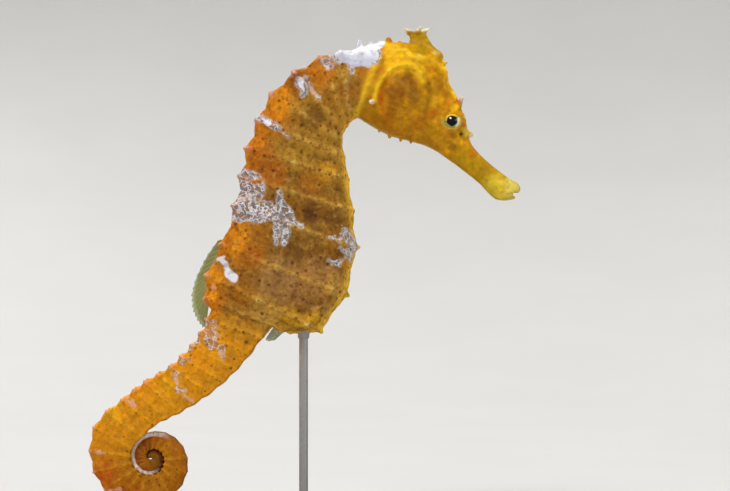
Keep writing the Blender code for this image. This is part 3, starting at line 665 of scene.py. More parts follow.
def read_table(table, s, turn):
    """A table's value at s and at the size of the turn, between its rows."""
    row = np.clip((s - S_GRID[0]) * ROWS_PER_RING, 0.0, len(S_GRID) - 1.001)
    column = np.clip(np.abs(turn) / math.pi * (SIDES // 2), 0.0, SIDES // 2 - 0.001)
    i, j = row.astype(int), column.astype(int)
    u, v = row - i, column - j
    low = table[i, j] * (1 - v) + table[i, j + 1] * v
    high = table[i + 1, j] * (1 - v) + table[i + 1, j + 1] * v
    return low * (1 - u) + high * u


# Plain shapes, as points and faces


def quads_between(rings, sides, closed=False):
    """Faces between rings of points, and from the last ring to the first where closed."""
    start = np.arange(rings if closed else rings - 1)[:, None] * sides
    above = (start + sides) % (rings * sides)
    side = np.arange(sides)
    after = (side + 1) % sides
    return stacked(start + side, start + after, above + after, above + side).reshape(-1, 4)


def loft(rings, ends=None):
    """A tube through equal rings of points, closed towards its two end points."""
    sides = len(rings[0])
    ends = (rings[0].mean(0), rings[-1].mean(0)) if ends is None else ends
    points = np.concatenate([*rings, ends])
    first, last = len(points) - 2, len(points) - 1
    top = (len(rings) - 1) * sides
    faces = quads_between(len(rings), sides).tolist()
    for side in range(sides):
        after = (side + 1) % sides
        faces += [[first, after, side], [last, top + side, top + after]]
    return points, faces


def ellipsoid(centre, radii, rings=24, sides=32):
    """A ball with its poles along Y."""
    around = full_turn(sides)
    body = []
    for polar in np.linspace(0.0, math.pi, rings + 1)[1:-1]:
        out, along = np.sin(polar), np.full(sides, np.cos(polar))
        body.append(stacked(np.cos(around) * out, along, np.sin(around) * out) * radii + centre)
    pole = np.array((0.0, radii[1], 0.0))
    return loft(body, (centre + pole, centre - pole))


def circle_about(axis):
    helper = np.array((0.0, 1.0, 0.0)) if abs(axis[1]) < 0.9 else np.array((1.0, 0.0, 0.0))
    first = np.cross(helper, axis)
    first /= length_of(first)
    around = full_turn(SPINE_SIDES)[:, None]
    return np.cos(around) * first + np.sin(around) * np.cross(axis, first)


def spine(root, tip, root_radius, tip_radius):
    """A spine with a round tip, wider at the root with a hollow flare."""
    root, tip = np.array(root, float), np.array(tip, float)
    axis = tip - root
    upwards = axis / length_of(axis)
    ring = circle_about(upwards)
    rings = [root - SPINE_SUNK * axis + ring * root_radius]
    for share in np.linspace(0.0, 1.0, SPINE_RINGS):
        radius = blend(root_radius, tip_radius, share**SPINE_FLARE)
        rings.append(root + axis * share + ring * radius)
    for turn in SPINE_TIP_TURNS:
        centre = tip + upwards * tip_radius * math.sin(turn)
        rings.append(centre + ring * tip_radius * math.cos(turn))
    return loft(rings)


def torus(centre, radii, thickness, sides, tube_sides):
    """An oval ring in the XZ plane."""
    grids = np.meshgrid(full_turn(sides), full_turn(tube_sides), indexing="ij")
    turn, roll = (grid.ravel() for grid in grids)
    out = thickness * np.cos(roll)
    x, z = (radii[0] + out) * np.cos(turn), (radii[1] + out) * np.sin(turn)
    points = stacked(x, thickness * np.sin(roll), z) + centre
    return points, quads_between(sides, tube_sides, closed=True).tolist()


def coronet_shapes():
    """The column of the coronet, dished on top, and a short blunt spine at each point."""
    around = full_turn(CORONET_SIDES)
    wave = 0.5 * (1.0 + np.cos(CORONET_POINTS * around))
    rings = []
    for height, x, length, width, star in CORONET_LEVELS:
        reach = 1.0 - star + star * CORONET_SWELL * wave
        out, aside = length * reach * np.cos(around), width * reach * np.sin(around)
        rings.append(stacked(x + out, aside, height + star * wave))
    rim = rings[-1]
    dish = np.array((x, 0.0, height - CORONET_DISH))
    for share in CORONET_DISH_RINGS:
        low = blend(dish, rim, share)
        low[:, 2] = dish[2] + (rim[:, 2] - dish[2]) * share**1.5
        rings.append(low)
    shapes = [loft(rings)]
    middle, reach = np.array((x, 0.0)), 1.0 + CORONET_TIP_SWELL * star
    for point, turn in enumerate(full_turn(CORONET_POINTS)):
        out = np.array((math.cos(turn) * length, math.sin(turn) * width))
        tip_height = height + CORONET_TIP_RISE * (1.0 - CORONET_LOWER_TIPS * (point % 2))
        root = (*(middle + out * reach * CORONET_TIP_ROOT[0]), height + CORONET_TIP_ROOT[1])
        tip = (*(middle + out * (reach + CORONET_TIP_REACH)), tip_height)
        shapes.append(spine(root, tip, *CORONET_TIP_RADII))
    return shapes


def mirrored(values, side):
    return np.array(values) * (1.0, side, 1.0)


def head_shapes():
    shapes = coronet_shapes()
    for *ends, root_radius, tip_radius in HEAD_SPINES:
        for side in (1, -1) if ends[1] else (1,):
            root, tip = mirrored(ends[:3], side), mirrored(ends[3:], side)
            shapes.append(spine(root, tip, root_radius, tip_radius))
    shapes += [ellipsoid(*ball) for ball in (*CROWN_MOUNDS, UPPER_LIP, LOWER_LIP)]
    x, y, z = EYE_CENTRE
    for side, _ in BOTH_SIDES:
        shapes.append(ellipsoid(mirrored((x, y - EYE_MOUND_DEPTH, z), side), EYE_MOUND_RADII))
        rim = mirrored((x, EYE_RIM_Y, z), side)
        shapes.append(torus(rim, EYE_RIM_RADII, EYE_RIM_THICKNESS, *EYE_RIM_SIDES))
    return shapes


# Meshes


def mesh_from(name, points, faces, scale=MM):
    mesh = bpy.data.meshes.new(name)
    mesh.from_pydata((points * scale).tolist(), [], faces)
    mesh.update()
    return mesh


def add_object(name, data, *materials):
    obj = bpy.data.objects.new(name, data)
    bpy.context.scene.collection.objects.link(obj)
    for material in materials:
        data.materials.append(material)
        data.shade_smooth()
    return obj


def put(mesh, name, values, kind="FLOAT"):
    """Stores values on the mesh's points."""
    field = {"FLOAT": "value", "FLOAT_VECTOR": "vector", "FLOAT_COLOR": "color"}[kind]
    data = mesh.attributes.new(name, kind, "POINT").data
    data.foreach_set(field, values.astype(np.float32).ravel())


def merged(shapes):
    points, faces, start = [], [], 0
    for shape_points, shape_faces in shapes:
        points.append(shape_points)
        faces += [[corner + start for corner in face] for face in shape_faces]
        start += len(shape_points)
    return np.concatenate(points), faces


def remeshed(points, faces):
    """One closed skin of even four-cornered faces round the shapes."""
    source = mesh_from("skin_source", points, faces, scale=1.0)
    obj = add_object("skin_source", source)
    modifier = obj.modifiers.new("Remesh", "REMESH")
    modifier.mode = "VOXEL"
    modifier.voxel_size = VOXEL
    evaluated = obj.evaluated_get(bpy.context.evaluated_depsgraph_get())
    mesh = evaluated.to_mesh()
    found = np.empty(len(mesh.vertices) * 3, np.float32)
    mesh.vertices.foreach_get("co", found)
    corners = np.empty(len(mesh.loops), np.int32)
    mesh.loops.foreach_get("vertex_index", corners)
    evaluated.to_mesh_clear()
    bpy.data.objects.remove(obj, do_unlink=True)
    bpy.data.meshes.remove(source)
    return found.reshape(-1, 3).astype(float), corners.reshape(-1, 4).astype(np.int64)


def summed(index, values, count):
    """Sum of the rows of values that share an index."""
    return np.stack([np.bincount(index, values[:, k], count) for k in range(3)], -1)


def smoothed(points, faces):
    """Moves each point towards its neighbours, forwards and back so that the shape keeps its size."""
    ends = np.concatenate([faces[:, [i, (i + 1) % 4]] for i in range(4)])
    count = np.bincount(ends[:, 0], minlength=len(points))[:, None]
    for pull in SMOOTHING:
        mean = summed(ends[:, 0], points[ends[:, 1]], len(points)) / count
        points = points + pull * (mean - points)
    return points


def normals_of(points, faces):
    a, b, c, d = (points[faces[:, k]] for k in range(4))
    total = summed(faces.ravel(), np.repeat(np.cross(c - a, d - b), 4, axis=0), len(points))
    return total / np.maximum(length_of(total), 1e-12)[:, None]


def body_places(points):
    """s, turn and distance from the tube for straightened points."""
    s, turn, rise, y = tube_grid()
    grid = straightened(s, rise, y)
    faces = quads_between(len(S_GRID), SIDES)
    tree = BVHTree.FromPolygons(grid.tolist(), faces.tolist())
    nearest = [tree.find_nearest(point) for point in points.tolist()]
    spot = np.array([found[0] for found in nearest])
    corner = faces[[found[2] for found in nearest]]
    origin = grid[corner[:, 0]]
    side, along, offset = grid[corner[:, 1]] - origin, grid[corner[:, 3]] - origin, spot - origin
    a, b, d = (side * side).sum(1), (side * along).sum(1), (along * along).sum(1)
    e, f = (side * offset).sum(1), (along * offset).sum(1)
    scale = np.maximum(a * d - b * b, 1e-12)
    u = np.clip((e * d - b * f) / scale, 0.0, 1.0)
    v = np.clip((a * f - b * e) / scale, 0.0, 1.0)
    at_s = s[corner[:, 0]] + v / ROWS_PER_RING
    return at_s, turn[corner[:, 0]] + u * math.tau / SIDES, length_of(points - spot)


# Relief of the skin


def line_distance(x, z, line):
    """Distance in the side view to a line of points."""
    best = np.full(len(x), 1e9)
    for (ax, az), (bx, bz) in zip(line, line[1:]):
        length = (bx - ax) ** 2 + (bz - az) ** 2
        t = np.clip(((x - ax) * (bx - ax) + (z - az) * (bz - az)) / length, 0.0, 1.0)
        best = np.minimum(best, np.hypot(x - ax - t * (bx - ax), z - az - t * (bz - az)))
    return best


def marks_distance(x, z, marks):
    """Distance in the side view to the nearest mark's edge, negative inside."""
    return np.min([line_distance(x, z, (mark[:2], mark[2:4])) - mark[4] for mark in marks], axis=0)


def knob_height(ring, ridge):
    """Height of the knob on each ring at a ridge."""
    low, tall = KNOB_HEIGHTS[ridge]
    height = np.where(np.isin(ring, TALL_RINGS), tall, low)
    if ridge == KEEL:
        height = np.where(np.isin(ring, BELLY_SPINE_RINGS), BELLY_SPINE_HEIGHT, height)
    if ridge in (SIDE_RIDGE, KEEL):
        height = np.where(ring > BELLY_SPINE_RINGS[-1], 0.0, height)
    return np.where(ring > RIDGES[ridge][3], height, 0.0)


def body_relief(s, turn):
    """Height of rings, ridges and knobs over the smooth tube, and how much a point is a knob."""
    depth = frame_of(s)[2]
    girth = np.clip(depth / GIRTH_FULL_AT, GIRTH_LEAST, 1.0)
    ring = np.rint(s)
    on_ring = np.cos(math.pi * (s - ring))
    along = (s - ring) * read_table(PITCH, s, turn)
    around = read_table(ROUND_RIB, s, turn)
    begun = soft(s, RINGS_BEGIN, RINGS_BEGIN + 1.0)
    tail = ramp(s, *TAIL_RIDGES)
    in_coil = ramp(s, *COIL_RIDGE_FADE)
    coil_loss = 1.0 - COIL_RIDGE_LOSS * in_coil
    fold = np.degrees(np.abs(turn))
    calm_tail = 1.0 - CALM_TAIL * soft(fold, 95.0, 135.0) * tail * (1.0 - in_coil)
    calm = calm_tail * (1.0 - CALM_BELLY * soft(fold, 95.0, 150.0) * fade(s, 7.0, 9.0))
    groove = RING_GROOVE * np.clip(depth / GROOVE_DEPTH_FULL_AT, 0.0, 1.0) * calm
    crest = RING_CREST * girth * (1.0 - 0.5 * ramp(s, 40.0, 50.0)) * calm
    height = begun * (crest * bump(along, RING_CREST_WIDTH * girth) - 0.5 * groove * (1.0 - on_ring))
    knobs = np.zeros(len(s))
    hollow = FACET_HOLLOW * begun * girth
    for index, (angle, in_trunk, in_tail, first_ring) in enumerate(RIDGES):
        from_ridge = around - read_table(ROUND_RIB, s, math.radians(angle))
        line = blend(in_trunk, in_tail, tail) * ramp(s, first_ring, first_ring + RIDGE_FADE_IN_RINGS)
        shape = bump(from_ridge, RIDGE_WIDTH * girth)
        height += line * coil_loss * blend(RIDGE_BETWEEN_RINGS, 1.0, on_ring) * shape
        hollow *= 1.0 - shape
        away_from_knob = np.hypot(from_ridge, along) / (KNOB_WIDTH * girth)
        knob = np.exp(-0.5 * away_from_knob**KNOB_SHARPNESS)
        size = knob_height(ring, index) * girth * blend(KNOB_IN_COIL, 1.0, coil_loss) * calm_tail
        height += size * knob
        knobs = np.maximum(knobs, knob * ramp(size / girth, 0.0, KNOB_PALE_AT))
    return height - hollow, knobs


def gill_place(x, z):
    """Distance from the gill cover's middle as a share of its edge, and the direction."""
    dx, dz = x - GILL_COVER_CENTRE[0], z - GILL_COVER_CENTRE[1]
    cosine, sine = math.cos(GILL_COVER_LEAN), math.sin(GILL_COVER_LEAN)
    u = (dx * cosine - dz * sine) / GILL_COVER_RADII[0]
    v = (dz * cosine + dx * sine) / GILL_COVER_RADII[1]
    return np.hypot(u, v), np.arctan2(v, u)


def away(x, z, place):
    """Distance in the side view from a place."""
    return np.hypot(x - place[0], z - place[1])


def head_relief(x, z, flank):
    """Height of the head's features, which lie on its flanks."""
    place, direction = gill_place(x, z)
    open_edge = soft(np.cos(direction - GILL_COVER_OPENING), -0.1, 0.6)
    height = GILL_COVER_BULGE * fade(place, 0.25, 1.0)
    for size, at, width in GILL_COVER_EDGE:
        height += size * open_edge * bump(place - at, width)
    fan = np.arctan2(z - STRIAE_ROOT[1], x - STRIAE_ROOT[0])
    inside = fade(place, 0.8, 0.97) * soft(away(x, z, STRIAE_ROOT), 0.8, 2.4)
    height += GILL_COVER_STRIAE * np.cos(STRIAE_PER_RADIAN * fan) * inside
    for size, width, line in HEAD_LINES:
        height += size * bump(line_distance(x, z, line), width)
    for *knob, size, width in HEAD_KNOBS:
        height += size * bump(away(x, z, knob), width)
    for size, radius, width in NOSTRIL_RINGS:
        height += size * bump(away(x, z, NOSTRIL) - radius, width)
    slit = bump(line_distance(x, z, MOUTH_SLIT), MOUTH_SLIT_WIDTH)
    return height * flank - MOUTH_SLIT_DEPTH * slit


# Dots


def dot_centres(points, s, turn):
    """Dots in loose rows that follow the rings, none too near another."""
    kept = (s > DOTS_SPAN[0]) & (s < DOTS_SPAN[1])
    candidates = []
    for row in np.arange(1.0, DOTS_SPAN[1] + 0.1, 1.0 / DOT_ROWS):
        near = np.flatnonzero(kept & (np.abs(s - row) < DOT_ROW_WIDTH))
        if not len(near):
            continue
        place = read_table(ROUND_RIB, s[near], turn[near]) * np.sign(turn[near])
        phase = RNG.uniform(0.0, DOT_SPACING)
        for spot in np.arange(place.min() + phase, place.max(), DOT_SPACING):
            candidates.append(near[np.argmin(np.abs(place - spot - RNG.normal(0.0, DOT_JITTER)))])
    candidates += list(RNG.choice(np.flatnonzero(kept), STRAY_DOTS, replace=False))
    taken, cells = [], {}
    for index in candidates:
        least = DOT_LEAST * RNG.uniform(*DOT_LEAST_SPREAD)
        cell = (points[index] // DOT_LEAST).astype(int).tolist()
        around = itertools.product(*(range(c - 2, c + 3) for c in cell))
        near = [other for key in around for other in cells.get(key, ())]
        if not near or length_of(points[near] - points[index]).min() >= least:
            taken.append(index)
            cells.setdefault(tuple(cell), []).append(index)
    return np.array(taken)


def dot_distance(points, centres):
    """Distance to the nearest dot's edge, negative inside, and how dark that dot is."""
    tree = KDTree(len(centres))
    for number, point in enumerate(points[centres].tolist()):
        tree.insert(point, number)
    tree.balance()
    radius = RNG.uniform(*DOT_RADIUS, len(centres))
    darkness = RNG.uniform(*DOT_DARKNESS, len(centres))
    found = [tree.find(point)[1:] for point in points.tolist()]
    number, distance = np.array([pair[0] for pair in found]), np.array([pair[1] for pair in found])
    near = distance < DOT_FAR
    return np.where(near, distance - radius[number], DOT_FAR), np.where(near, darkness[number], 0.0)


# Colour of the skin


def tinted(base, layers):
    """The base colour with named colours laid over it one after another, each by its share."""
    for name, share in layers:
        base = base + (colour(name) - base) * np.clip(share, 0.0, 1.0)[:, None]
    return base


def skin_tint(points, s, turn, knobs, above):
    """The skin's ground colour in linear light."""
    x, y, z = points.T
    fold = np.degrees(np.abs(turn))
    wander = noise(points, 5.0, 1) * 0.5 + noise(points, 2.0, 2) * 0.3
    patches = noise(points, 1.2, 21) + 0.7 * noise(points, 0.6, 22)
    from_ring = s - np.rint(s)
    off_ring = 1.0 - np.cos(math.pi * from_ring) ** 2
    lower = soft(s, 7.0, 8.6) * fade(s, 11.2, 12.4)
    between = off_ring * soft(s, 5.0, 8.0) * fade(s, 11.6, 12.6)
    tail = soft(s, 11.8, 14.0)
    head = fade(s, -0.3, 0.9)
    face = head * fade(-s, 4.0, 6.0)
    layers = [
        ("amber", soft(wander, -0.1, 0.6) * 0.6),
        ("orange", soft(66.0 + 26.0 * wander - fold, -20.0, 24.0)),
        ("gold", 0.70 * soft(fold, 130.0, 162.0)),
        ("umber", 0.20 * lower * soft(fold, 55.0, 85.0)),
        ("umber", 0.55 * between * soft(fold, 50.0, 80.0)),
        ("tail", 0.95 * tail),
        ("tail_low", 0.55 * tail * soft(fold, 70.0, 120.0)),
        ("coil", 0.80 * soft(s, 21.5, 27.0)),
        # The inner whorl's dark red is partly its own colour and partly painted shade; the near-black
        # towards the coil's core is painted shade
        ("coil_inner", 0.95 * soft(s, 34.0, 38.5)),
        ("coil_core", 0.85 * soft(s, 43.0, 49.0)),
        ("head", head),
        ("yellow", 0.60 * head * soft(patches, 0.0, 0.9)),
        ("deep", 0.40 * face * soft(-patches, 0.2, 1.1)),
        ("jaw", 0.8 * face * soft(fold, 95.0, 150.0)),
        ("lime", 0.75 * soft(-s, 4.6, 6.6)),
        ("straw", 0.6 * soft(-s, 8.7, 9.5)),
    ]
    uneven = 0.40 * wander + 0.25 * noise(points, 0.8, 17)
    for *pool, radius, strength, name in COLOUR_POOLS:
        layers.append((name, strength * fade(away(x, z, pool) / radius + uneven, 0.35, 1.15)))

    place, direction = gill_place(x, z)
    streaks = noise(points * (1.0, 0.3, 0.45), 0.8, 3) + 0.5 * noise(points, 1.6, 12)
    gill = fade(place + 0.22 * noise(points, 1.5, 23), 0.55, 1.10)
    gill = gill * (1.0 - 0.60 * soft(np.cos(direction + 0.9), -0.1, 0.9))
    layers += [
        ("gill", 0.85 * gill),
        ("gill_dark", gill * soft(streaks, 0.0, 1.0) * 0.6),
        ("red", 0.6 * bump(place - 0.96, 0.07) * soft(-np.cos(direction + 0.1), 0.2, 0.9)),
        ("gill_dark", 0.45 * bump(place - 1.20, 0.09) * soft(np.cos(direction - 0.35), 0.6, 0.95)),
        ("olive", 0.55 * bump(line_distance(x, z, GILL_COVER_SLASH), 0.35)),
    ]
    # Painted highlight: the first raised lines of the head get a bright yellow shine along them, over
    # their own yellow
    for height, width, line in HEAD_LINES[:LINES_WITH_HIGHLIGHT]:
        ridge_highlight = min(1.0, 2.6 * height) * (0.95 + 0.15 * patches)
        layers.append(("sunny", ridge_highlight * bump(line_distance(x, z, line), width * 1.1)))

    crown = soft(above, 0.3, 0.9) * (x < 24.5) * (x > 15.0) * (z > 83.5)
    thorn = soft(above, 0.5, 1.1) * head * (s > -8.0) * (z < 91.0) * (1.0 - crown)
    thorn = thorn * (x > 16.8) * (away(x, z, EYE_CENTRE[[0, 2]]) > 3.0)
    along = np.abs(from_ring) * read_table(PITCH, s, turn)
    ring_line = bump(along, 0.36) * soft(s, 1.0, 2.0) * soft(fold, 60.0, 100.0)
    ring_line *= 0.8 + 0.3 * noise(points, 1.4, 13)
    # Painted highlight: a pale pink rim along the outer edge of the coil's inner whorl
    rim = soft(78.0 - fold, 0.0, 12.0) * soft(s, 35.0, 37.5) * (1.0 - ramp(s, 45.5, 48.0))
    pinkness = 0.75 - 0.50 * soft(s, 6.5, 8.0) * fade(s, 12.0, 13.0)
    eye = np.hypot((x - EYE_CENTRE[0]) / EYE_RIM_RADII[0], (z - EYE_CENTRE[2]) / EYE_RIM_RADII[1])
    by_eye = (np.abs(y) > 1.2) * (z < EYE_CENTRE[2] + 0.7)
    layers += [
        ("lime", 0.75 * crown),
        ("spine_tip", 0.80 * thorn),
        ("spine_tip", 0.90 * (np.abs(y) > 4.6) * (above > 0.6)),
        ("cream", 0.85 * soft(z, 91.5, 92.2)),
        ("straw_brown", 0.80 * ring_line * (1.0 - tail)),
        ("gold", 0.30 * ring_line * tail),
        # painted rim light: a bright yellow band along the keel of the belly, from the neck down
        ("sunny", 0.70 * soft(fold, 152.0, 172.0) * soft(s, 0.5, 2.0)),
        # painted rim light: a pale yellow band along the underside of the head
        ("pale_rim", 0.6 * soft(fold, 160.0, 175.0) * head),
        ("rim_pink", 0.95 * rim),
        ("pink", pinkness * knobs * soft(95.0 - fold, 0.0, 30.0)),
        ("straw", 0.70 * knobs * soft(fold, 65.0, 95.0)),
        ("iris", 0.55 * bump(eye - 1.0, 0.14) * by_eye),
        # Painted shade: a dark spot in the pit of the nostril
        ("nostril", bump(away(x, z, NOSTRIL), 0.26)),
    ]
    shade = 1.0 + 0.16 * noise(points, 0.8, 4) + 0.08 * noise(points, 1.8, 14)
    base = tinted(np.tile(colour("ochre"), (len(points), 1)), layers) * shade[:, None]
    return np.column_stack((base, np.ones(len(base))))


# The skin


def skin_shape():
    """Points and faces of the plain skin, and each point's s, turn and distance from the tube."""
    s, _, rise, y = tube_grid()
    grid = straightened(s, rise, y)
    points, faces = loft(np.split(grid, len(S_GRID)))
    tube = (points, [face[::-1] for face in faces])
    points, quads = remeshed(*merged([tube] + head_shapes()))
    points = smoothed(points, quads)
    return curled(points), quads, *body_places(points)


def lace_edge(points, x, z, s, knobs):
    """Distance to the edge of the lace, negative inside."""
    lace = marks_distance(x, z, LACE_MARKS)
    saddle = (x > SADDLE_X[0]) & (x < SADDLE_X[1]) & (z < SADDLE_Z[1])
    lace = np.where(saddle, np.maximum(lace, SADDLE_Z[0] - z), lace)
    by_belly = (x > BELLY_LACE[0]) & (z < BELLY_LACE[1])
    scattered = soft(s, *LACE_SCATTERS)
    lace += 0.45 * noise(points, 1.5, 5) + 0.25 * noise(points, 0.6, 6) + 0.16 * scattered
    lace += noise(points, 0.75, 19) * np.maximum(1.20 * scattered, 0.55 * by_belly)
    return lace + 2.0 * knobs * by_belly


def build_skin():
    points, quads, s, turn, above = skin_shape()
    normals = normals_of(points, quads)
    x, z = points[:, 0], points[:, 2]
    relief, knobs = body_relief(s, turn)
    on_body = fade(above, 0.15, 0.5)
    flank = soft(np.abs(normals[:, 1]), 0.15, 0.5) * on_body * fade(s, 0.6, 1.6)
    points = points + normals * (relief * on_body + head_relief(x, z, flank))[:, None]
    lace = lace_edge(points, x, z, s, knobs)
    solid = marks_distance(x, z, SOLID_MARKS)
    solid += 0.30 * noise(points, 1.2, 15) + 0.22 * noise(points, 0.6, 6)
    pink = marks_distance(x, z, PINK_MARKS) + 0.45 * noise(points, 0.6, 7)

    grain = sum(height * noise(points, size, seed) for height, size, seed in GRAIN)
    grain += 0.06 * noise(points, 0.7, 20) * fade(s, -0.5, 0.5) * soft(s, -8.0, -5.0)
    crust = soft(-np.minimum(lace, solid), 0.0, 0.4)
    grain += crust * (0.05 + 0.05 * noise(points, 0.42, 10))
    grain *= blend(0.3, 1.0, soft(away(x, z, EYE_CENTRE[[0, 2]]), 1.6, 2.6))
    girth = np.clip(frame_of(s)[2] / GIRTH_FULL_AT, GRAIN_LEAST, 1.0)
    points = points + normals_of(points, quads) * (grain * girth)[:, None]

    dots, darkness = dot_distance(points, dot_centres(points, s, turn))
    mesh = mesh_from("skin", points, quads.tolist())
    put(mesh, "tint", skin_tint(points, s, turn, knobs, above), "FLOAT_COLOR")
    values = dict(dot_edge=dots + 0.12 * soft(s, 13.0, 17.0) + 0.10 * knobs, dot_darkness=darkness)
    values["mottling"] = (0.3 + 0.7 * soft(s, 0.4, 2.0)) * (1.0 - 0.5 * soft(s, 12.0, 15.0))
    values.update(lace_edge=lace, solid_edge=solid, pink_edge=pink)
    values["lace_gap"] = 0.60 * soft(s, *LACE_SCATTERS)
    # Painted shade: the white patches on the nape turn lilac-blue towards their lower edge; elsewhere
    # they take a steady share of lilac-blue
    values["solid_shade"] = np.where(x > 4.0, 0.75 * soft(88.6 - z, 0.0, 2.4), 0.25)
    for name, numbers in values.items():
        put(mesh, name, numbers)
    add_skin_map(mesh, points, quads, s, turn, above)
    return add_object("seahorse_skin", mesh, skin_material())


def along_map(s):
    """Length along the body at s, by the longest line of each row."""
    longest = np.concatenate([[0.0], np.cumsum(PITCH.max(axis=1)[1:] / ROWS_PER_RING)])
    return np.interp(s, S_GRID, longest)


def add_skin_map(mesh, points, quads, s, turn, above):
    """Lays the skin out flat: strips of the body side by side, then the coronet on its own."""
    around = read_table(ROUND_RIB, s, turn)[quads]
    half_round = read_table(ROUND_RIB, s, math.pi)[quads]
    sign = np.where(turn >= 0.0, 1.0, -1.0)[quads]
    majority = np.where(sign.sum(1) >= 0, 1.0, -1.0)[:, None]
    over_belly = (np.abs(turn[quads]) > 0.5 * math.pi) & (sign != majority)
    u = np.where(over_belly, majority * (2.0 * half_round - around), sign * around)
    v, middle = along_map(s[quads]), s[quads].mean(1)
    laid = np.zeros((*u.shape, 2))
    for start, end, at_u, at_v, on_side in MAP_STRIPS:
        inside = (middle >= start) & (middle < end)
        strip = stacked(u[inside], v[inside] - along_map(start))
        if on_side:
            strip = strip[..., ::-1] * (1.0, -1.0)
        laid[inside] = strip + (at_u, at_v)

    x, y, z = (points - CORONET_AXIS).T
    column = (above > 0.35) & (np.hypot(x, y * 1.2) < CORONET_REACH) & (z > 0.0)
    column = column[quads].all(1)
    on_top = column & (normals_of(points, quads)[quads].mean(1)[:, 2] > 0.6)
    direction = np.arctan2(y, x)[quads]
    direction -= math.tau * np.rint((direction - direction[:, :1]) / math.tau)
    side, top = CORONET_MAP_STRETCH
    wrapped = stacked(direction * CORONET_MAP_RADIUS, z[quads] * side) + CORONET_SIDE_AT
    flat = stacked(x[quads], y[quads]) * top + CORONET_TOP_AT
    laid = np.where(column[:, None, None], wrapped, laid)
    laid = np.where(on_top[:, None, None], flat, laid)
    layer = mesh.uv_layers.new(name="OFBake")
    layer.uv.foreach_set("vector", (laid / MAP_SIDE).astype(np.float32).ravel())


# Materials, written as sums and products of shader values


def plug(socket, value):
    """Sets a socket to a shader value, a named colour, a colour or a number."""
    if isinstance(value, Value):
        socket.id_data.links.new(value.socket, socket)
    elif isinstance(value, str):
        socket.default_value = (*colour(value), 1.0)
    elif value is not None:
        socket.default_value = (*value[:3], 1.0) if socket.type == "RGBA" else value


def make(tree, kind, *inputs, output=0, **settings):
    """Adds a shader node, sets its inputs in order and gives one of its outputs."""
    node = tree.nodes.new("ShaderNode" + kind)
    for key, value in settings.items():
        setattr(node, key, value)
    for index, value in enumerate(inputs):
        plug(node.inputs[index], value)
    return Value(node.outputs[output])


class Value:
    """The output of a shader node."""

    def __init__(self, socket):
        self.socket = socket

    def make(self, kind, *inputs, **settings):
        return make(self.socket.id_data, kind, self, *inputs, **settings)

    def maths(self, operation, *others):
        return self.make("Math", *others, operation=operation)

    def __add__(self, other):
        return self.maths("ADD", other)

    def __mul__(self, other):
        return self.maths("MULTIPLY", other)

    def max(self, other):
        return self.maths("MAXIMUM", other)

    def step(self, start, end, low=0.0, high=1.0):
        """low before start, high after end, and smooth in between."""
        return self.make("MapRange", start, end, low, high, interpolation_type="SMOOTHSTEP")

    def noise(self, scale, detail=2.0, output="Fac"):
        return self.make("TexNoise", None, scale, detail, output=output)

    def moved(self, *offset):
        return self.make("VectorMath", offset, operation="ADD")

    def stretched(self, *scale):
        return self.make("Mapping", None, None, scale)


class Paint:
    """A new material."""

    def __init__(self, name):
        self.material = bpy.data.materials.new(name)
        self.material.use_nodes = True
        self.tree = self.material.node_tree

    def value(self, name, output="Fac"):
        return make(self.tree, "Attribute", attribute_name=name, output=output)

    def place(self):
        """The place on the object, in millimetres."""
        in_metres = make(self.tree, "TexCoord", output="Object")
        return in_metres.make("VectorMath", None, None, 1.0 / MM, operation="SCALE")

    def mix(self, first, second, share, kind="MIX"):
        """A colour between two colours."""
        inputs = (share, *[None] * 5, first, second)
        return make(self.tree, "Mix", *inputs, output=2, data_type="RGBA", blend_type=kind)

    def shaded(self, ground, shade):
        grey = make(self.tree, "CombineColor", shade, shade, shade)
        return self.mix(ground, grey, 1.0, "MULTIPLY")

    def finished(self, bump_height=None, depth=0.0, strength=1.0, **sockets):
        """The material with its shader's sockets set, and a bump of this depth in millimetres."""
        inputs = self.tree.nodes["Principled BSDF"].inputs
        for name, value in sockets.items():
            plug(inputs[name.replace("_", " ")], value)
        if bump_height:
            bumps = make(self.tree, "Bump", strength, depth * MM, None, bump_height, output="Normal")
            plug(inputs["Normal"], bumps)
        return self.material


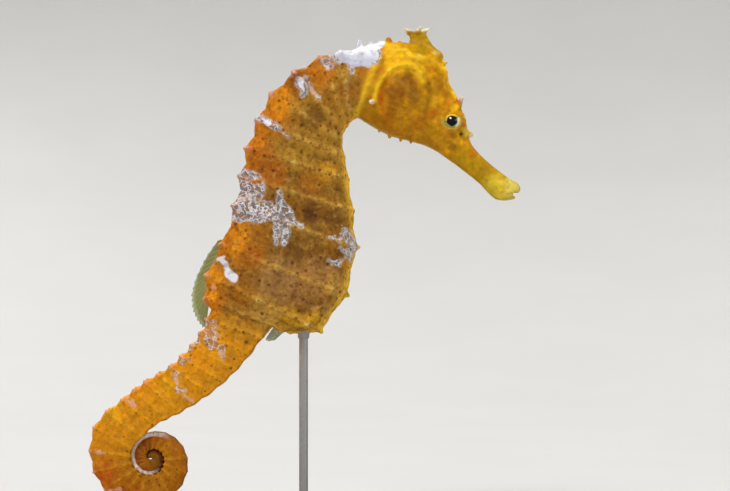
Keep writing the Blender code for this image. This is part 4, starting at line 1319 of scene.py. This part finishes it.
def skin_material():
    paint = Paint("seahorse_skin")
    place = paint.place()
    coarse, fine, finer = place.noise(0.8, 3.0), place.noise(1.7, 4.0), place.noise(4.5, 3.0)
    mottling = paint.value("mottling")
    ground = paint.shaded(paint.value("tint", "Color"), (fine + -0.5) * (mottling * 0.8 + 0.35) + 1.0)
    blotches = place.moved(31.0, 7.0, 13.0).noise(1.25)
    ground = paint.mix(ground, "rust", blotches.step(0.53, 0.66, 0.0, 0.50) * mottling)
    ground = paint.mix(ground, "rust", finer.step(0.56, 0.70, 0.0, 0.32) * mottling)
    light = place.moved(3.0, 17.0, 41.0).noise(0.9, 3.0)
    ground = paint.mix(ground, "straw_brown", light.step(0.52, 0.70, 0.0, 0.40) * mottling)
    dots = paint.value("dot_edge") + (finer * 0.20 + -0.10)
    dots = dots.step(0.15, -0.10) * paint.value("dot_darkness")
    ground = paint.mix(ground, "dot", dots)
    ragged = finer * 0.9 + -0.45
    ground = paint.mix(ground, "pink", (paint.value("pink_edge") + ragged).step(0.16, -0.16, 0.0, 0.60))

    net = place.moved(11.0, 5.0, 23.0).noise(0.95, 2.5)
    threads = (net + -0.5).maths("ABSOLUTE").step(0.055, 0.005)
    edge = paint.value("lace_edge") + ragged * 0.6
    # White of the lace: its own white threads and patches, and a painted highlight that whitens it near
    # its edges
    white_and_glints = (threads * 0.80).max(coarse.step(0.52, 0.64, 0.0, 0.62))
    white_and_glints = white_and_glints.max(edge.step(-0.50, -0.05, 0.0, 0.65) * coarse)
    lace = paint.mix(paint.mix("lilac", "lilac_dark", finer.step(0.40, 0.60)), "white", white_and_glints)
    pits = place.moved(51.0, 3.0, 9.0).noise(1.5).step(0.50, 0.64, 0.0, 0.66)
    gaps = pits.max(paint.value("lace_gap")) * -1.0 + 1.0
    ground = paint.mix(ground, lace, edge.step(0.28, -0.28, 0.0, 0.92) * gaps.max(threads * 0.9))

    # Lilac-blue in the white patches: random patches, and painted shade towards the lower edge of the
    # nape's patches
    shading = coarse.step(0.50, 0.64, 0.0, 0.7).max(paint.value("solid_shade"))
    solid = (paint.value("solid_edge") + ragged * 0.4).step(0.22, -0.18, 0.0, 0.97)
    ground = paint.mix(ground, paint.mix("white", "lilac_blue", shading), solid)
    ground = paint.mix(ground, "dot", dots * 0.45)
    pebbles = make(paint.tree, "TexVoronoi", place, None, 3.2, feature="DISTANCE_TO_EDGE")
    return paint.finished(
        finer * 0.8 + pebbles.step(0.0, 0.25),
        0.05,
        0.8,
        Base_Color=ground,
        Roughness=fine.step(0.3, 0.7, 0.32, 0.50),
        Specular_IOR_Level=0.18,
        Specular_Tint=(1.0, 0.90, 0.68),
        Subsurface_Weight=0.08,
        Subsurface_Radius=(1.0, 0.5, 0.25),
        Subsurface_Scale=0.4 * MM,
    )


def eye_material():
    paint = Paint("seahorse_eye")
    place = paint.value("from_eye", "Vector")
    x, z = (place.make("SeparateXYZ", output=axis) for axis in "XZ")
    reach = (x * x + z * z).maths("SQRT")
    direction = z.maths("ARCTAN2", x)
    grain = place.noise(2.4, 3.0)
    round_eye = direction.maths("SINE").make("CombineXYZ", direction.maths("COSINE"), reach * 0.12)
    streaks = round_eye.noise(9.0)
    iris = paint.mix("iris", "iris_edge", streaks.step(0.42, 0.6))
    iris = paint.mix(iris, "yellow", (x * -0.2 + z).step(0.5, 0.95, 0.0, 0.9))
    iris = paint.mix(iris, "cream", (x + z * -0.3).step(0.75, 1.10, 0.0, 0.85))
    iris = paint.mix(iris, "iris_edge", grain.step(0.55, 0.7, 0.0, 0.35))
    iris = paint.mix(iris, "dot", reach.step(1.36, 1.52) * 0.6)
    uneven = (direction * 5.0).maths("SINE") * 0.03 + (grain * 0.36 + -0.18)
    pupil = (reach + uneven).step(0.98, 0.88)
    base = paint.mix(iris, "pupil", pupil)
    gloss = dict(Roughness=0.22, Coat_Weight=0.7, Coat_Roughness=0.03)
    return paint.finished(streaks, 0.02, 0.4, Base_Color=base, **gloss)


def fin_material(name, root, middle, margin, film, ray_alpha):
    """A thin fin: its rays show more than the film between them."""
    paint = Paint(name)
    out, ray = paint.value("outwards"), paint.value("ray")
    fine = paint.place().noise(2.6, 3.0)
    wander = fine * 0.3 + (out + -0.15)
    ground = paint.mix(root, middle, wander.step(0.05, 0.42))
    ground = paint.mix(ground, margin, wander.step(0.78, 1.0, 0.0, 0.7))
    ground = paint.mix(ground, "fin_yellow", ray * 0.4)
    spots = paint.place().noise(5.0, 1.0).step(0.60, 0.70, 0.0, 0.45)
    ground = paint.mix(ground, "gill_dark", spots)
    rays = ray.max(out.step(0.30, 0.0)) * ray_alpha
    alpha = fine.step(0.3, 0.7, film * 0.85, film).max(rays)
    return paint.finished(fine, 0.02, 0.5, Base_Color=ground, Alpha=alpha, Roughness=0.38)


def wood_material():
    paint = Paint("walnut")
    stretched = paint.place().stretched(0.035, 0.55, 0.55)
    bent = stretched.make("VectorMath", stretched.noise(1.0, 3.0, "Color"), operation="ADD")
    grain, pores = bent.noise(2.6, 6.0), stretched.noise(11.0)
    wood = paint.mix("walnut_dark", "walnut_light", grain.step(0.34, 0.66))
    wood = paint.mix(wood, "walnut_dark", pores.step(0.58, 0.68, 0.0, 0.6))
    rough = grain.step(0.3, 0.7, 0.34, 0.48)
    return paint.finished(pores, 0.05, 0.4, Base_Color=wood, Roughness=rough)


def steel_material():
    paint = Paint("brushed_steel")
    lines = paint.place().stretched(1.0, 1.0, 14.0).noise(1.2, 3.0)
    steel = paint.mix(STEEL_DARK, STEEL_LIGHT, lines.step(0.3, 0.7))
    rough = lines.step(0.3, 0.7, 0.34, 0.48)
    return paint.finished(lines, 0.01, 0.3, Base_Color=steel, Roughness=rough, Metallic=0.75)


def paper_material():
    paint = Paint("studio_paper")
    shade = paint.place().noise(0.02).step(0.3, 0.7, 0.98, 1.0)
    return paint.finished(Base_Color=paint.shaded("paper", shade), Roughness=0.9)


# The eyes


def build_eye(label, side, material):
    points, faces = ellipsoid(np.zeros(3), np.ones(3), EYE_RINGS, EYE_SIDES)
    reach = np.hypot(points[:, 0], points[:, 2])
    outer = points[:, 1] * side > 0.0
    points[:, 1] *= 1.0 + CORNEA_RISE * fade(reach, 0.0, CORNEA_REACH) * outer
    points = points * EYE_RADII
    mesh = mesh_from(f"eye_ball_{label}", points + mirrored(EYE_CENTRE, side), faces)
    put(mesh, "from_eye", points, "FLOAT_VECTOR")
    return add_object(f"eye_ball_{label}", mesh, material)


# The fins


def fan_sides(roots, angles, lengths, rays, sinking, wave, seed):
    """Both faces of a fan of rays in the XZ plane, by columns and rows, and its two values."""
    share = np.linspace(0.0, 1.0, (rays - 1) * COLUMNS_PER_RAY + 1)
    turn = np.radians(blend(*angles, share))
    start, middle, end = lengths
    length = blend(start, end, share) + (middle - 0.5 * (start + end)) * 4 * share * (1 - share)
    ray_phase = share * (rays - 1)
    ray = bump(ray_phase - np.rint(ray_phase), RAY_WIDTH)
    picks = np.random.default_rng(seed).uniform(-1.0, 1.0, rays)
    uneven = RAYS_UNEVEN * np.interp(ray_phase, np.arange(rays), picks)
    length = length * (1.0 - FILM_SHORTER * (1.0 - ray) + uneven)
    share, turn, length, ray = (column[:, None] for column in (share, turn, length, ray))
    reach = -sinking + (length + sinking) * np.linspace(0.0, 1.0, ROWS_OF_FIN)
    out = np.clip(reach / length, 0.0, 1.0)
    at_root = roots(share[:, 0])
    x, z = at_root[:, 0:1] + np.cos(turn) * reach, at_root[:, 1:2] + np.sin(turn) * reach
    y = wave * out**1.5 * np.sin(share * 9.0 + seed + out * 1.4)
    thick = FILM_THICKNESS + RAY_THICKNESS * ray * (1.0 - 0.75 * out)
    thick = thick + ROOT_THICKNESS * (1.0 - out) ** 5
    sides = [stacked(x, y + thick * side, z) for side in (1, -1)]
    return *sides, out, ray * (1.0 - 0.35 * out)


def sheet_faces(columns, rows):
    """Faces of a closed sheet whose two sides are stored one after the other."""
    faces = []
    one_side = columns * rows
    for i in range(columns - 1):
        for j in range(rows - 1):
            a, b = i * rows + j, (i + 1) * rows + j
            faces.append((a, b, b + 1, a + 1))
            faces.append(tuple(corner + one_side for corner in (a + 1, b + 1, b, a)))
    rim = [(i, 0) for i in range(columns)] + [(columns - 1, j) for j in range(1, rows)]
    rim += [(i, rows - 1) for i in range(columns - 2, -1, -1)] + [(0, j) for j in range(rows - 2, 0, -1)]
    edge = [i * rows + j for i, j in rim]
    faces += [(b, a, a + one_side, b + one_side) for a, b in zip(edge, edge[1:] + edge[:1])]
    return np.array(faces)


def build_fan(name, material, left, right, out, ray):
    points = np.concatenate([left.reshape(-1, 3), right.reshape(-1, 3)])
    faces = sheet_faces(*out.shape)
    a, b, _, d = points[faces[0]]
    if np.dot(np.cross(b - a, d - a), left[0, 0] - right[0, 0]) < 0.0:
        faces = faces[:, ::-1]
    mesh = mesh_from(name, points, faces.tolist())
    put(mesh, "outwards", np.tile(out.ravel(), 2))
    put(mesh, "ray", np.tile(ray.ravel(), 2))
    return add_object(name, mesh, material)


def build_fins():
    """The fins, each with the name of the solid that it replaces."""
    green = fin_material("fin_dorsal", "fin_root", "fin_green", "fin_pale", 0.80, 0.97)
    pale = fin_material("fin_anal", "fin_yellow", "fin_green", "fin_pale", 0.66, 0.88)
    clear = fin_material("fin_pectoral", "jaw", "olive", "fin_pale", 0.05, 0.20)
    dorsal = fan_sides(lambda share: rib(blend(*DORSAL_FIN_SPAN, share))[0], *DORSAL_FIN)
    anal = fan_sides(lambda share: rib(blend(*ANAL_FIN_SPAN, share))[1], *ANAL_FIN)
    fins = {"dorsal_fin": build_fan("fin_of_back", green, *dorsal)}
    fins["anal_fin"] = build_fan("fin_of_belly", pale, *anal)

    def upright(share):
        return stacked(np.zeros(len(share)), PECTORAL_ROOT_HEIGHT * (0.5 - share))

    for side, label in BOTH_SIDES:
        left, right, *values = fan_sides(upright, *PECTORAL_FIN)
        cos, sin = math.cos(PECTORAL_SPREAD), -side * math.sin(PECTORAL_SPREAD)
        spread = np.array(((cos, sin, 0.0), (-sin, cos, 0.0), (0.0, 0.0, 1.0)))
        sides = (sheet @ spread + mirrored(PECTORAL_ROOT, side) for sheet in (left, right))
        fins[f"pectoral_fin_{label}"] = build_fan(f"fin_of_{label}_side", clear, *sides, *values)
    return fins


# The stand


def rings_about(x, profile, sides):
    """Rings about an upright axis at x, from pairs of radius and height."""
    around = full_turn(sides)
    circle = stacked(np.cos(around), np.sin(around), np.zeros(sides))
    return [circle * radius + (x, 0.0, height) for radius, height in profile]


def rounded(radius, turns):
    """Inward and downward steps of an edge with this radius."""
    return [(radius * (1.0 - math.cos(turn)), radius * (1.0 - math.sin(turn))) for turn in turns]


def raised(profile, height):
    return [(radius, height + rise) for radius, rise in profile]


def build_rods(material):
    shapes = []
    for x, underside in RODS:
        profiles = [raised(ROD_FOOT, BASE_THICKNESS) + raised(ROD_HEAD, underside)]
        profiles.append(raised(FLANGE, BASE_THICKNESS))
        if underside > BASE_THICKNESS + CUP_NEEDS_HEIGHT:
            profiles.append(raised(CUP, underside))
        shapes += [loft(rings_about(x, profile, ROD_SIDES)) for profile in profiles]
    return add_object("stand_rods", mesh_from("stand_rods", *merged(shapes)), material)


def build_base(material):
    """A slab with round corners and rolled edges, standing on a slightly smaller foot."""
    around = []
    for quarter, (side_x, side_y) in enumerate(((1, 1), (-1, 1), (-1, -1), (1, -1))):
        middle_x = side_x * (0.5 * BASE_LENGTH - BASE_CORNER_RADIUS)
        middle_y = side_y * (0.5 * BASE_WIDTH - BASE_CORNER_RADIUS)
        for turn in 0.5 * math.pi * (quarter + np.linspace(0.0, 1.0, BASE_CORNER_STEPS + 1)):
            around.append((middle_x, middle_y, math.cos(turn), math.sin(turn)))
    around = np.array(around)
    under = BASE_EDGE * 0.35
    top_of_foot = BASE_FOOT[-1][1]
    low_edge = rounded(under, np.linspace(0.2, 0.5 * math.pi, 4))
    profile = [*BASE_FOOT, *((inset, top_of_foot + rise) for rise, inset in low_edge)]
    edge = rounded(BASE_EDGE, np.linspace(0.0, 0.5 * math.pi, 9))
    profile += [(inset, BASE_THICKNESS - down) for inset, down in edge]
    profile += [(BASE_EDGE + 0.4, BASE_THICKNESS), (4.0, BASE_THICKNESS)]
    rings = []
    for inset, height in profile:
        flat = around[:, :2] + (BASE_CORNER_RADIUS - inset) * around[:, 2:]
        rings.append(np.column_stack((flat, np.full(len(flat), height))))
    points, count = np.concatenate(rings), len(around)
    faces = [list(range(count))[::-1], list(range(len(points) - count, len(points)))]
    faces += quads_between(len(rings), count).tolist()
    obj = add_object("stand_slab", mesh_from("stand_slab", points, faces), material)
    obj.data.set_sharp_from_angle(angle=math.radians(50.0))
    return obj


# The studio


def add_lamp(name, place, aim, size, watts, glossy, tint=(1.0, 1.0, 1.0)):
    light = bpy.data.lights.new(name, "AREA")
    light.shape = "DISK"
    light.size = size * MM
    light.energy = watts
    light.color = tint
    lamp = add_object(name, light)
    lamp.location = np.array(place) * MM
    x, y, z = (np.array(aim) - place) / length_of(np.array(aim) - place)
    lamp.rotation_euler = (math.acos(-z), 0.0, math.atan2(y, x) - 0.5 * math.pi)
    lamp.visible_glossy = glossy


def build_studio():
    """A round sweep of pale paper, soft lamps and the camera."""
    profile = [(0.5, 0.0), (FLOOR_RADIUS, 0.0)]
    for turn in np.linspace(0.05, 0.5 * math.pi, 30):
        rise = SWEEP_RADIUS * (1.0 - math.cos(turn))
        profile.append((FLOOR_RADIUS + SWEEP_RADIUS * math.sin(turn), rise))
    profile.append((FLOOR_RADIUS + SWEEP_RADIUS, WALL_HEIGHT))
    points = np.concatenate(rings_about(0.0, profile, SWEEP_SIDES))
    faces = [list(range(SWEEP_SIDES))] + quads_between(len(profile), SWEEP_SIDES).tolist()
    sweep = add_object("studio_sweep", mesh_from("studio_sweep", points, faces), paper_material())
    sweep.visible_glossy = False

    for number in range(WALL_LAMPS):
        turn = math.tau * (number + 0.5) / WALL_LAMPS
        place, aim = (
            (math.cos(turn) * out, math.sin(turn) * out, height)
            for out, height in (WALL_LAMP_PLACE, WALL_LAMP_TARGET)
        )
        add_lamp(f"wall_{number}", place, aim, WALL_LAMP_SIZE, WALL_LAMP_WATTS, False)
    for name, place, *settings in LAMPS:
        add_lamp(name, place, LAMP_TARGET, *settings)

    world = bpy.data.worlds.new("studio_air")
    world.use_nodes = True
    air = world.node_tree.nodes["Background"].inputs
    air["Color"].default_value = (1.0, 1.0, 1.0, 1.0)
    air["Strength"].default_value = WORLD_STRENGTH
    bpy.context.scene.world = world

    lens = bpy.data.cameras.new("camera")
    lens.lens = LENS
    lens.sensor_width = SENSOR
    lens.clip_start, lens.clip_end = CLIP
    camera = add_object("camera", lens)
    distance = VIEW_WIDTH * LENS / SENSOR
    camera.location = (VIEW_CENTRE[0] * MM, -distance * MM, VIEW_CENTRE[1] * MM)
    camera.rotation_euler = (0.5 * math.pi, 0.0, 0.0)
    bpy.context.scene.camera = camera
    bpy.context.scene.view_settings.view_transform = "Standard"


def main():
    pieces = [(build_skin(), "skin", FLESH)]
    eye = eye_material()
    for side, label in BOTH_SIDES:
        pieces.append((build_eye(label, side, eye), "eye", [f"eye_{label}"]))
    pieces += [(fin, "fin", [cad_node]) for cad_node, fin in build_fins().items()]
    pieces.append((build_rods(steel_material()), "rod", ["stand_rod_body", "stand_rod_tail"]))
    pieces.append((build_base(wood_material()), "base", ["stand_base"]))
    for piece, slot, nodes in pieces:
        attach(piece, "root")
        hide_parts(*nodes)
    build_studio()


main()
